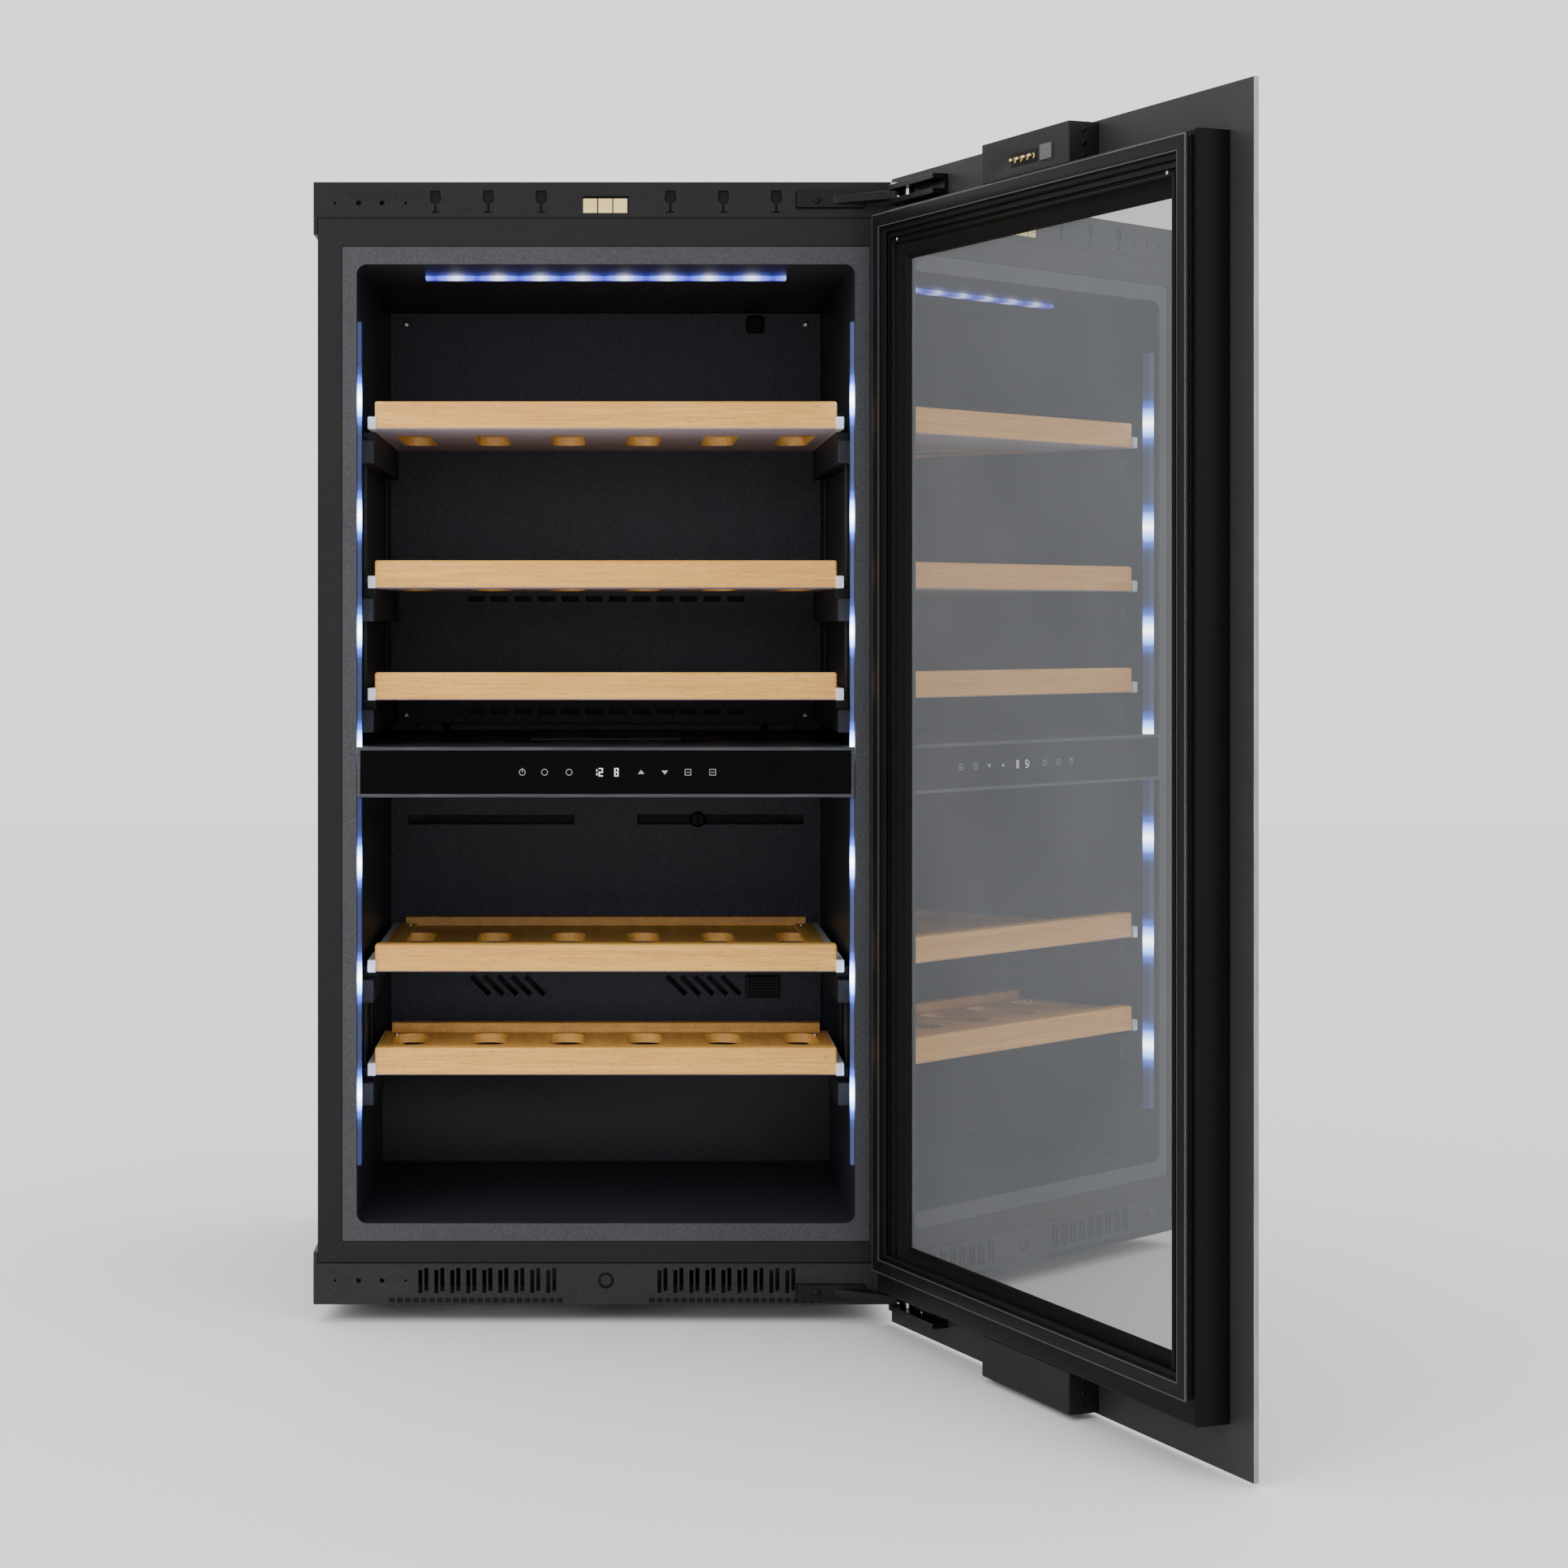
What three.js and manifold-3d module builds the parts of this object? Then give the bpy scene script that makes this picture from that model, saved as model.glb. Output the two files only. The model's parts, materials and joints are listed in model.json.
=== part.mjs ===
// A built-in wine cooler with two temperature zones, its door open to the right.
// Millimetres. X runs right, Y runs back, Z runs up, and the origin is under the middle of the base.
import * as THREE from "three";
import { mergeVertices } from "three/addons/utils/BufferGeometryUtils.js";
import Module from "manifold-3d";

// Clearances
const FIT = 0.3; // between pieces that touch
const RUN = 0.6; // between pieces that slide or turn

// Cabinet
const BODY_WIDTH = 548;
const BODY_DEPTH = 545;
const BASE_HEIGHT = 18;
const BASE_SETBACK = 85;
const BASE_REAR_SETBACK = 17;
const CASE_WALL = 1.2;
const CASE_DROP = 2; // the case top below the top strip
const BACK_SHEET = 2;
const SIDE_WALL = 37; // case face to liner face
const REAR_FOAM = 55;
const LINER_WALL = 2;

// Front trims
const TRIM_DEPTH = 14;
const TRIM_FACE = 3;
const TRIM_OVERHANG = 4; // each side of the body
const TOP_STRIP = 34;
const BOTTOM_STRIP = 40;
const CAP_LENGTH = 40; // how far the trim's end caps reach back
const CAP_HEIGHT = 50;
const SILL_FLANGE = 20;
const HEAD_FLANGE = 27;
const LIP = 14;
const LIP_HEIGHT = 17;
const LIP_SETBACK = 1;
const LIP_PLATE = 3;
const LIP_RADIUS = 10;

// Zones
const LOWER_ZONE = 405;
const DIVIDER = 48;
const UPPER_ZONE = 459;
const DUCT_DEPTH = 28;
const DUCT_WALL = 2;
const ROOM_DEPTH = 171; // compressor room
const ROOM_HEIGHT = 165;
const ROOM_FOAM = 30;

// Control bar
const BAR_FLANGE = 5.7;
const BAR_BODY_DEPTH = 40;
const GLASS_THICKNESS = 2.8;
const GLASS_MARGIN = 3.5;
const BOARD_THICKNESS = 1.6;
const BOARD_WIDTH = 300;
const BOARD_HEIGHT = 26;

// Lamps
const LAMP_PROUD = 3.6;
const LAMP_WIDTH = 12;
const LAMP_SETBACK = 8;
const LAMP_END_GAP = 54;
const CEILING_LAMP_WIDTH = 354;
const CEILING_LAMP_DEPTH = 12;
const CEILING_LAMP_SETBACK = 95;

// Top strip details
const GLASS_MARK_PITCH = 50.3;
const GLASS_MARK_START = 61.4;
const CONTACT_WIDTH = 43;
const CONTACT_HEIGHT = 15.4;
const CONTACT_RISE = 4.8; // above the strip's lower edge
const HINGE_POCKET_FROM_EDGE = 28; // body side to the recess
const HINGE_POCKET_LENGTH = 65;
const HINGE_POCKET_MARGIN = 4; // above and below the hinge block
const SCREW_PITCH = 22.3;
const SCREW_FROM_EDGE = 20.7;
const SCREW_RISE = 14; // above the top strip's lower edge

// Bottom strip details
const VENT_COUNT = 9;
const VENT_PITCH = 15.2;
const VENT_WIDTH = 3.8;
const VENT_HEIGHT = 24;
const VENT_RISE = 11;
const VENT_START = 49;
const VENT_STEP = 2; // a pair's second slot stands higher
const BUTTON_RADIUS = 7;
const BUTTON_RISE = 23;
const BUTTON_LENGTH = 30;

// Shelves
const BOARD_SIDE_GAP = 15; // liner face to front board end
const FRONT_BOARD_HEIGHT = 26.5;
const FRONT_BOARD_THICKNESS = 18;
const SHELF_SETBACK = 25;
const SHELF_BACK_GAP = 56;
const TRAY_THICKNESS = 9;
const TRAY_INSET = 7; // tray edge inside the front board end
const BACK_BOARD_HEIGHT = 18;
const BACK_BOARD_THICKNESS = 15;
const WINDOW_PITCH = 77;
const WINDOW_WIDTH = 34;
const WINDOW_FRONT = 104; // behind the front board's face
const WINDOW_BACK = 93.4; // to the tray's back edge
const SLIDE_WIDTH = 6.4;
const SLIDE_HEIGHT = 11;
const RAIL_WIDTH = 12.7;
const RAIL_HEIGHT = 22;
const RAIL_DROP = 10; // rail front below the board
const UPRIGHT_THICKNESS = 3;
const UPRIGHT_WIDTH = 20;
const SHELF_TRAVEL_STOP = 76; // what stays over the rails when a shelf is out
const UPPER_SHELF_HEIGHTS = [44, 151.5, 304]; // board undersides above the zone floor
const LOWER_SHELF_HEIGHTS = [137.5, 236.5];
const SHORT_SHELF_DEPTH = 161;
const SHORT_TRAY_RISE = 13;
const SHORT_WINDOW_FRONT = 54;
const SHORT_WINDOW_BACK = 26;

// Door
const PANEL_THICKNESS = 5;
const PANEL_SIDE_OVERLAP = 23.5; // panel past the body on each side
const PANEL_TOP_OVERLAP = 2;
const PANEL_FLOOR_GAP = 3;
const FRAME_THICKNESS = 31.7;
const FRAME_INSET = 31.5; // panel edge to frame edge
const FRAME_SIDE_WIDTH = 48;
const FRAME_END_WIDTH = 44.5;
const FRAME_TOP_GAP = 37;
const FRAME_BOTTOM_GAP = 39;
const FRAME_REBATE = 12;
const UNIT_THICKNESS = 8;
const UNIT_BACKING = 12; // panel to sealed unit
const FRAME_WALL = 5;
const FRAME_CAVITY = 18;
const GASKET_WIDTH = 12;
const GASKET_THICKNESS = 7.4;
const GASKET_INSET = 4;
const GASKET_BOTTOM_INSET = 20;
const BLOCK_WIDTH = 147;
const BLOCK_THICKNESS = 28.7;
const PIN_COUNT = 4;
const PIN_PITCH = 10.5;
const PIN_RADIUS = 2;
const PIN_LENGTH = 9.4;
const PIN_PLATE_THICKNESS = 1.5;
const OPEN_ANGLE = 112.5;

// Hinges
const AXIS_INSET = 1.5; // hinge axis inside the body's side
const AXIS_FORWARD = 31.5;
const HINGE_PIN_RADIUS = 4;
const KNUCKLE_RADIUS = 7.6;
const TONGUE = 8;
const FORK = 5;
const ARM_LENGTH = 86;
const ARM_WEB = 3.6;
const HINGE_BLOCK_PROUD = 4;
const UPPER_HINGE_CENTRE = 17; // below the top strip's upper edge
const LOWER_HINGE_CENTRE = 12; // above the bottom strip's lower edge

// Cooling parts
const OUTLET_COUNT = 12; // slots in each row of the upper duct
const OUTLET_PITCH = 26;
const OUTLET_WIDTH = 18;
const OUTLET_HEIGHT = 5;
const OUTLET_ROWS = [18, 142]; // above the upper zone's floor
const RETURN_NEAR = 35; // wide slots of the lower duct, from the middle
const RETURN_SIDE_GAP = 20; // to the zone's side
const RETURN_HEIGHT = 10;
const RETURN_DROP = 45; // below the divider
const LOUVRE_COUNT = 5;
const LOUVRE_START = 78;
const LOUVRE_PITCH = 15;
const LOUVRE_WIDTH = 5;
const LOUVRE_LENGTH = 28;
const LOUVRE_RISE = 52; // above the step
const EVAPORATOR_THICKNESS = 6;
const EVAPORATOR_SIDE_GAP = 40;
const EVAPORATOR_FAN_GAP = 12;
const EVAPORATOR_TOP_GAP = 15;
const UPPER_FAN_RISE = 90; // above the upper zone's floor
const LOWER_FAN_RISE = 60; // above the step
const FAN_CLEARANCE = 3;
const FAN_RADIUS = 44;
const FAN_DEPTH = 14;
const FAN_BLADES = 7;
const FAN_HUB = 16;
const COMPRESSOR_RADIUS = 58;
const COMPRESSOR_HEIGHT = 118;
const CONDENSER_SIZE = 112;
const CONDENSER_DEPTH = 60;
const CONDENSER_FRONT_GAP = 20;
const FIN_PITCH = 12;
const FIN_BACKING = 12; // solid depth behind the fins
const TRAY_MARGIN = 8; // drip tray past the compressor
const TRAY_GAP = 6;
const TRAY_HEIGHT = 18;
const TRAY_WALL = 2;
const INLET_WIDTH = 28;
const INLET_HEIGHT = 20;
const INLET_DEPTH = 26;
const INLET_WALL = 3;
const INLET_SOCKET = 18;
const INLET_RISE = 40;

// Heights from the floor
const level = {};
level.frontBottom = BASE_HEIGHT;
level.stripTop = level.frontBottom + BOTTOM_STRIP;
level.lipBottom = level.stripTop + SILL_FLANGE;
level.floor = level.lipBottom + LIP_HEIGHT;
level.dividerBottom = level.floor + LOWER_ZONE;
level.dividerTop = level.dividerBottom + DIVIDER;
level.ceiling = level.dividerTop + UPPER_ZONE;
level.lipTop = level.ceiling + LIP_HEIGHT;
level.flangeTop = level.lipTop + HEAD_FLANGE;
level.top = level.flangeTop + TOP_STRIP;
level.caseTop = level.top - CASE_DROP;
level.caseInside = level.caseTop - CASE_WALL;
level.roomTop = BASE_HEIGHT + ROOM_HEIGHT;
level.step = level.roomTop + ROOM_FOAM + 2 * FIT + LINER_WALL;
level.panelBottom = PANEL_FLOOR_GAP;
level.panelTop = level.top + PANEL_TOP_OVERLAP;
level.frameBottom = level.panelBottom + FRAME_BOTTOM_GAP;
level.frameTop = level.panelTop - FRAME_TOP_GAP;
level.upperHinge = level.top - UPPER_HINGE_CENTRE;
level.lowerHinge = level.frontBottom + LOWER_HINGE_CENTRE;

// Distances across and back from the front plane
const bodyHalf = BODY_WIDTH / 2;
const frontHalf = bodyHalf + TRIM_OVERHANG;
const zoneHalf = bodyHalf - SIDE_WALL;
const foamHalf = bodyHalf - CASE_WALL - FIT;
const linerHalf = zoneHalf + LINER_WALL;
const fitHalf = zoneHalf - FIT;
const lipHalf = zoneHalf + LIP;
const caseFront = TRIM_DEPTH + FIT;
const backInside = BODY_DEPTH - BACK_SHEET - FIT;
const linerBack = backInside - REAR_FOAM - FIT - LINER_WALL;
const zoneDepth = linerBack - DUCT_DEPTH;
const stepFront = BODY_DEPTH - ROOM_DEPTH - ROOM_FOAM - 2 * FIT - LINER_WALL;
const roomFront = BODY_DEPTH - ROOM_DEPTH;
const boardHalf = zoneHalf - BOARD_SIDE_GAP;
const shelfBack = zoneDepth - SHELF_BACK_GAP;
const panelHalf = bodyHalf + PANEL_SIDE_OVERLAP;
const frameHalf = panelHalf - FRAME_INSET;
const panelFace = -(FRAME_THICKNESS + GASKET_THICKNESS + 3 * FIT); // the closed panel's inner face
const pocketEnd = bodyHalf - HINGE_POCKET_FROM_EDGE;
const pocketStart = pocketEnd - HINGE_POCKET_LENGTH;
const axisX = bodyHalf - AXIS_INSET;
const axisY = -AXIS_FORWARD;

// Finishes
const finish = (color, roughness, metalness = 0) =>
  new THREE.MeshStandardMaterial({ color, roughness, metalness });
const finishes = {
  blackSteel: finish("#2b2c2d", 0.5, 0.6),
  zincSteel: finish("#8d9091", 0.45, 0.9),
  foam: finish("#d9cfa8", 0.9),
  linerPlastic: finish("#242529", 0.45),
  trimPlastic: finish("#333634", 0.5),
  barGlass: finish("#131313", 0.08),
  lampLens: finish("#dfe8ff", 0.3),
  circuit: finish("#1f4d2e", 0.6),
  gold: finish("#f0dca0", 0.25, 1),
  steelPin: finish("#c9cacb", 0.25, 1),
  beech: finish("#d9b384", 0.6),
  slideWhite: finish("#f2f2f0", 0.4),
  doorGlass: finish("#1b1c1d", 0.06),
  framePlastic: finish("#1a1a1a", 0.45),
  gasketRubber: finish("#3a3b3c", 0.7),
  compressorPaint: finish("#151515", 0.35, 0.3),
};

// Solids are joined and cut by manifold-3d.
const wasm = await Module();
wasm.setup();

function toSolid(geometry) {
  const bare = geometry.clone();
  bare.deleteAttribute("normal");
  bare.deleteAttribute("uv");
  const merged = mergeVertices(bare, 1e-4);
  return new wasm.Manifold(
    new wasm.Mesh({
      numProp: 3,
      vertProperties: new Float32Array(merged.attributes.position.array),
      triVerts: new Uint32Array(merged.index.array),
    }),
  );
}

function toGeometry(solid) {
  const mesh = solid.getMesh();
  const geometry = new THREE.BufferGeometry();
  geometry.setAttribute("position", new THREE.BufferAttribute(mesh.vertProperties, 3));
  geometry.setIndex(new THREE.BufferAttribute(mesh.triVerts, 1));
  const flat = geometry.toNonIndexed();
  flat.computeVertexNormals();
  return flat;
}

const join = (first, ...others) =>
  toGeometry(others.reduce((solid, other) => solid.add(toSolid(other)), toSolid(first)));
const cut = (first, ...tools) =>
  toGeometry(tools.reduce((solid, tool) => solid.subtract(toSolid(tool)), toSolid(first)));

// A box from its lowest to its highest x, y and z.
function box(x0, x1, y0, y1, z0, z1) {
  const geometry = new THREE.BoxGeometry(x1 - x0, y1 - y0, z1 - z0);
  return geometry.translate((x0 + x1) / 2, (y0 + y1) / 2, (z0 + z1) / 2);
}

// A box centred on the middle of the cabinet.
const centredBox = (half, y0, y1, z0, z1) => box(-half, half, y0, y1, z0, z1);

// Directions of a drawn outline's own axes, and of its thickness.
const PLANES = {
  front: [new THREE.Vector3(1, 0, 0), new THREE.Vector3(0, 0, 1), new THREE.Vector3(0, -1, 0)],
  side: [new THREE.Vector3(0, 1, 0), new THREE.Vector3(0, 0, 1), new THREE.Vector3(1, 0, 0)],
  plan: [new THREE.Vector3(1, 0, 0), new THREE.Vector3(0, 1, 0), new THREE.Vector3(0, 0, 1)],
};

// An outline drawn in a plane and given thickness from one place to another along the plane's normal.
function prism(outline, plane, from, to, curveSegments = 6) {
  const shape = outline instanceof THREE.Shape ? outline : new THREE.Shape(outline);
  const options = { depth: to - from, bevelEnabled: false, curveSegments };
  const geometry = new THREE.ExtrudeGeometry(shape, options);
  geometry.applyMatrix4(new THREE.Matrix4().makeBasis(...PLANES[plane]));
  const start = plane === "front" ? -to : from;
  return geometry.translate(...PLANES[plane][2].clone().multiplyScalar(start).toArray());
}

const outline = (...points) => points.map(([a, b]) => new THREE.Vector2(a, b));

function roundedRectangle(half, bottom, top, radius) {
  const shape = new THREE.Shape();
  shape.moveTo(-half + radius, bottom);
  shape.lineTo(half - radius, bottom);
  shape.absarc(half - radius, bottom + radius, radius, -Math.PI / 2, 0);
  shape.lineTo(half, top - radius);
  shape.absarc(half - radius, top - radius, radius, 0, Math.PI / 2);
  shape.lineTo(-half + radius, top);
  shape.absarc(-half + radius, top - radius, radius, Math.PI / 2, Math.PI);
  shape.lineTo(-half, bottom + radius);
  shape.absarc(-half + radius, bottom + radius, radius, Math.PI, Math.PI * 1.5);
  return shape;
}

// A round bar along x, y or z.
function rod(radius, axis, from, to, a, b, segments = 20) {
  const geometry = new THREE.CylinderGeometry(radius, radius, to - from, segments);
  const middle = (from + to) / 2;
  if (axis === "z") return geometry.rotateX(Math.PI / 2).translate(a, b, middle);
  if (axis === "y") return geometry.translate(a, middle, b);
  return geometry.rotateZ(Math.PI / 2).translate(middle, a, b);
}

const model = new THREE.Group();
const cabinet = new THREE.Group();
cabinet.position.y = -BODY_DEPTH / 2;
model.add(cabinet);

function addPiece(group, name, geometry, material) {
  const mesh = new THREE.Mesh(geometry, material);
  mesh.name = name;
  group.add(mesh);
  return mesh;
}

// Outer case, back and base
function buildCase() {
  const outer = centredBox(bodyHalf, caseFront, BODY_DEPTH, BASE_HEIGHT + FIT, level.caseTop);
  const inner = centredBox(bodyHalf - CASE_WALL, 0, BODY_DEPTH + 1, 0, level.caseInside);
  addPiece(cabinet, "outer_case", cut(outer, inner), finishes.blackSteel);

  const backTop = level.caseInside - FIT;
  const backPanel = centredBox(foamHalf, BODY_DEPTH - BACK_SHEET, BODY_DEPTH, level.roomTop, backTop);
  addPiece(cabinet, "back_panel", backPanel, finishes.zincSteel);

  const base = centredBox(fitHalf, BASE_SETBACK, BODY_DEPTH - BASE_REAR_SETBACK, 0, BASE_HEIGHT);
  addPiece(cabinet, "base_plinth", base, finishes.blackSteel);

  const louvres = [];
  const louvrePitch = 16;
  const louvreHeight = 6;
  const grilleBottom = BASE_HEIGHT + FIT;
  const grilleTop = level.roomTop - FIT;
  for (let z = grilleBottom + 2 * louvrePitch; z < grilleTop - louvrePitch; z += louvrePitch) {
    for (const side of [-1, 1]) {
      const middle = (side * zoneHalf) / 2;
      const reach = zoneHalf / 2 - louvrePitch;
      louvres.push(box(middle - reach, middle + reach, backInside - 1, BODY_DEPTH + 1, z, z + louvreHeight));
    }
  }
  const grille = centredBox(foamHalf, BODY_DEPTH - BACK_SHEET, BODY_DEPTH, grilleBottom, grilleTop);
  addPiece(cabinet, "rear_grille", cut(grille, ...louvres), finishes.zincSteel);
}

// Insulation, as the slabs between case and liner
function buildInsulation() {
  const sides = { left: -1, right: 1 };
  for (const [name, side] of Object.entries(sides)) {
    const [inner, outer] = [side * (linerHalf + FIT), side * foamHalf];
    const slab = box(
      Math.min(inner, outer),
      Math.max(inner, outer),
      caseFront,
      backInside,
      BASE_HEIGHT + FIT,
      level.caseInside - FIT,
    );
    addPiece(cabinet, `foam_${name}`, slab, finishes.foam);
  }
  const linerTop = level.ceiling + LINER_WALL + FIT;
  const linerFloor = level.floor - LINER_WALL - FIT;
  const bulkheadFront = stepFront + LINER_WALL + FIT;
  const wallBack = linerBack + LINER_WALL + FIT;
  const slabs = {
    foam_top: [caseFront, backInside, linerTop, level.caseInside - FIT],
    foam_bottom: [caseFront, stepFront, level.stripTop + FIT, linerFloor],
    foam_bulkhead: [bulkheadFront, roomFront, level.stripTop + FIT, level.roomTop - FIT],
    foam_room_roof: [bulkheadFront, backInside, level.roomTop, level.roomTop + ROOM_FOAM],
    foam_back: [wallBack, backInside, level.roomTop + ROOM_FOAM + FIT, linerTop - FIT],
  };
  for (const [name, [y0, y1, z0, z1]] of Object.entries(slabs)) {
    addPiece(cabinet, name, centredBox(linerHalf, y0, y1, z0, z1), finishes.foam);
  }
  const divider = centredBox(
    fitHalf - LAMP_PROUD - FIT,
    BAR_FLANGE + BAR_BODY_DEPTH + FIT,
    linerBack - FIT,
    level.dividerBottom + LINER_WALL + FIT,
    level.dividerTop - LINER_WALL - FIT,
  );
  addPiece(cabinet, "foam_divider", divider, finishes.foam);
}

// Inner liner with its lip, and the flange frame around it
function buildLiner() {
  const lipBack = LIP_SETBACK + LIP_PLATE;
  const outside = outline(
    [LIP_SETBACK, level.floor - LINER_WALL],
    [stepFront + LINER_WALL, level.floor - LINER_WALL],
    [stepFront + LINER_WALL, level.step - LINER_WALL],
    [linerBack + LINER_WALL, level.step - LINER_WALL],
    [linerBack + LINER_WALL, level.ceiling + LINER_WALL],
    [LIP_SETBACK, level.ceiling + LINER_WALL],
  );
  const lowerZone = outline(
    [-1, level.floor],
    [stepFront, level.floor],
    [stepFront, level.step],
    [linerBack, level.step],
    [linerBack, level.dividerBottom],
    [-1, level.dividerBottom],
  );
  const pocketFloor = level.dividerBottom + LINER_WALL;
  const pocketTop = level.dividerTop - LINER_WALL;
  const lampNotch = LAMP_SETBACK + LAMP_WIDTH + FIT;
  const notches = [-1, 1].map((side) => {
    const middle = side * (zoneHalf - LAMP_PROUD / 2);
    const reach = LAMP_PROUD / 2 + FIT;
    const inner = middle - reach * (side > 0 ? 1 : 1 - FIT / reach);
    const outer = middle + reach * (side < 0 ? 1 : 1 - FIT / reach);
    return box(inner, outer, BAR_FLANGE, lampNotch, level.dividerBottom - 1, level.dividerTop + 1);
  });
  const shell = cut(
    prism(outside, "side", -linerHalf, linerHalf),
    prism(lowerZone, "side", -zoneHalf, zoneHalf),
    centredBox(zoneHalf, -1, linerBack, level.dividerTop, level.ceiling),
    centredBox(zoneHalf, -1, linerBack, pocketFloor, pocketTop),
    centredBox(zoneHalf, -1, BAR_FLANGE + FIT, level.dividerBottom - 1, level.dividerTop + 1),
    ...notches,
  );
  const lipOuter = lipHalf - FIT;
  const lipPlate = centredBox(lipOuter, LIP_SETBACK, lipBack, level.lipBottom + FIT, level.lipTop - FIT);
  const opening = roundedRectangle(zoneHalf, level.floor, level.ceiling, LIP_RADIUS);
  const lip = cut(lipPlate, prism(opening, "front", 0, lipBack + 1));
  addPiece(cabinet, "inner_liner", join(lip, shell), finishes.linerPlastic);

  const frame = cut(
    centredBox(bodyHalf, 0, TRIM_DEPTH, level.stripTop + FIT, level.flangeTop - FIT),
    centredBox(lipHalf, -1, TRIM_DEPTH + 1, level.lipBottom, level.lipTop),
  );
  addPiece(cabinet, "front_frame", frame, finishes.blackSteel);
}

// A wine glass seen from the side: bowl, stem and foot.
function glassOutline(x, foot) {
  const footHalf = 4.6;
  const footHeight = 1.6;
  const stemHalf = 0.9;
  const stemHeight = 8;
  const bowlHalf = 5.4;
  const rim = 21;
  const shape = new THREE.Shape();
  shape.moveTo(x - footHalf, foot);
  shape.lineTo(x + footHalf, foot);
  shape.lineTo(x + stemHalf, foot + footHeight);
  shape.lineTo(x + stemHalf, foot + stemHeight);
  shape.quadraticCurveTo(x + bowlHalf * 1.1, foot + stemHeight + 2, x + bowlHalf, foot + rim - 6);
  shape.lineTo(x + bowlHalf * 0.8, foot + rim);
  shape.lineTo(x - bowlHalf * 0.8, foot + rim);
  shape.lineTo(x - bowlHalf, foot + rim - 6);
  shape.quadraticCurveTo(x - bowlHalf * 1.1, foot + stemHeight + 2, x - stemHalf, foot + stemHeight);
  shape.lineTo(x - stemHalf, foot + footHeight);
  return shape;
}

// A strip across the cabinet with an end cap at each side, and its four screw holes.
function trimStrip(z0, z1, capBottom, capTop, holeHeight) {
  const caps = [-1, 1].map((side) => {
    const inner = side * (bodyHalf + FIT);
    const outer = side * frontHalf;
    return box(Math.min(inner, outer), Math.max(inner, outer), 0, CAP_LENGTH, capBottom, capTop);
  });
  const strip = join(centredBox(frontHalf, 0, TRIM_DEPTH, z0, z1), ...caps);
  const holes = [1.2, 2.4, 2.4, 1.2].map((radius, i) => {
    const x = -frontHalf + SCREW_FROM_EDGE + i * SCREW_PITCH;
    return rod(radius, "y", -1, TRIM_DEPTH - TRIM_FACE, x, holeHeight, 10);
  });
  return cut(strip, ...holes);
}

// The recess that a hinge block fills, closed at the back.
function hingePocket(centre) {
  const half = TONGUE / 2 + HINGE_POCKET_MARGIN;
  return box(pocketStart, pocketEnd, -1, TRIM_DEPTH - TRIM_FACE, centre - half, centre + half);
}

function buildTopTrim() {
  const plain = trimStrip(
    level.flangeTop,
    level.top,
    level.top - CAP_HEIGHT,
    level.top,
    level.flangeTop + SCREW_RISE,
  );
  const glasses = [];
  for (let i = 0; i < 3; i += 1) {
    const x = GLASS_MARK_START + i * GLASS_MARK_PITCH;
    for (const side of [-1, 1]) {
      const mark = glassOutline(side * x, level.flangeTop + CONTACT_RISE);
      glasses.push(prism(mark, "front", -1, TRIM_FACE, 4));
    }
  }
  const contactBottom = level.flangeTop + CONTACT_RISE;
  const contactTop = contactBottom + CONTACT_HEIGHT;
  const seat = centredBox(
    CONTACT_WIDTH / 2 + FIT,
    -1,
    TRIM_FACE + FIT,
    contactBottom - FIT,
    contactTop + FIT,
  );
  const trim = cut(plain, ...glasses, seat, hingePocket(level.upperHinge));
  addPiece(cabinet, "top_trim", trim, finishes.trimPlastic);

  const plate = centredBox(CONTACT_WIDTH / 2, 1, TRIM_FACE, contactBottom, contactTop);
  addPiece(cabinet, "contact_plate", plate, finishes.gold);
}

function buildBottomGrille() {
  const plain = trimStrip(
    level.frontBottom + FIT,
    level.stripTop,
    level.frontBottom + FIT,
    level.frontBottom + CAP_HEIGHT,
    level.frontBottom + BUTTON_RISE,
  );
  const ventBottom = level.frontBottom + VENT_RISE;
  const ventTop = ventBottom + VENT_HEIGHT;
  const vents = [];
  for (const side of [-1, 1]) {
    for (let i = 0; i < VENT_COUNT; i += 1) {
      const x = side * (VENT_START + VENT_WIDTH + i * VENT_PITCH);
      for (const [x0, lift] of [[x - VENT_WIDTH, 0], [x + VENT_WIDTH / 2, VENT_STEP]]) {
        const top = ventTop - VENT_STEP + lift;
        vents.push(box(x0, x0 + VENT_WIDTH, -1, TRIM_FACE + 1, ventBottom + lift, top));
      }
    }
    const near = VENT_START - 2 * VENT_WIDTH;
    const far = VENT_START + VENT_COUNT * VENT_PITCH + VENT_WIDTH;
    const [x0, x1] = side > 0 ? [near, far] : [-far, -near];
    vents.push(box(x0, x1, TRIM_FACE, TRIM_DEPTH + 1, ventBottom - TRIM_FACE, ventTop));
  }
  const button = level.frontBottom + BUTTON_RISE;
  const bore = rod(BUTTON_RADIUS + RUN, "y", -1, TRIM_DEPTH + 1, 0, button, 24);
  const grille = cut(plain, ...vents, bore, hingePocket(level.lowerHinge));
  addPiece(cabinet, "bottom_grille", grille, finishes.trimPlastic);

  const stem = rod(BUTTON_RADIUS - 2, "y", TRIM_DEPTH, BUTTON_LENGTH, 0, button, 16);
  const cap = rod(BUTTON_RADIUS, "y", 0.5, TRIM_DEPTH + 1, 0, button, 24);
  addPiece(cabinet, "opener_plunger", join(cap, stem), finishes.steelPin);
}

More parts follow.
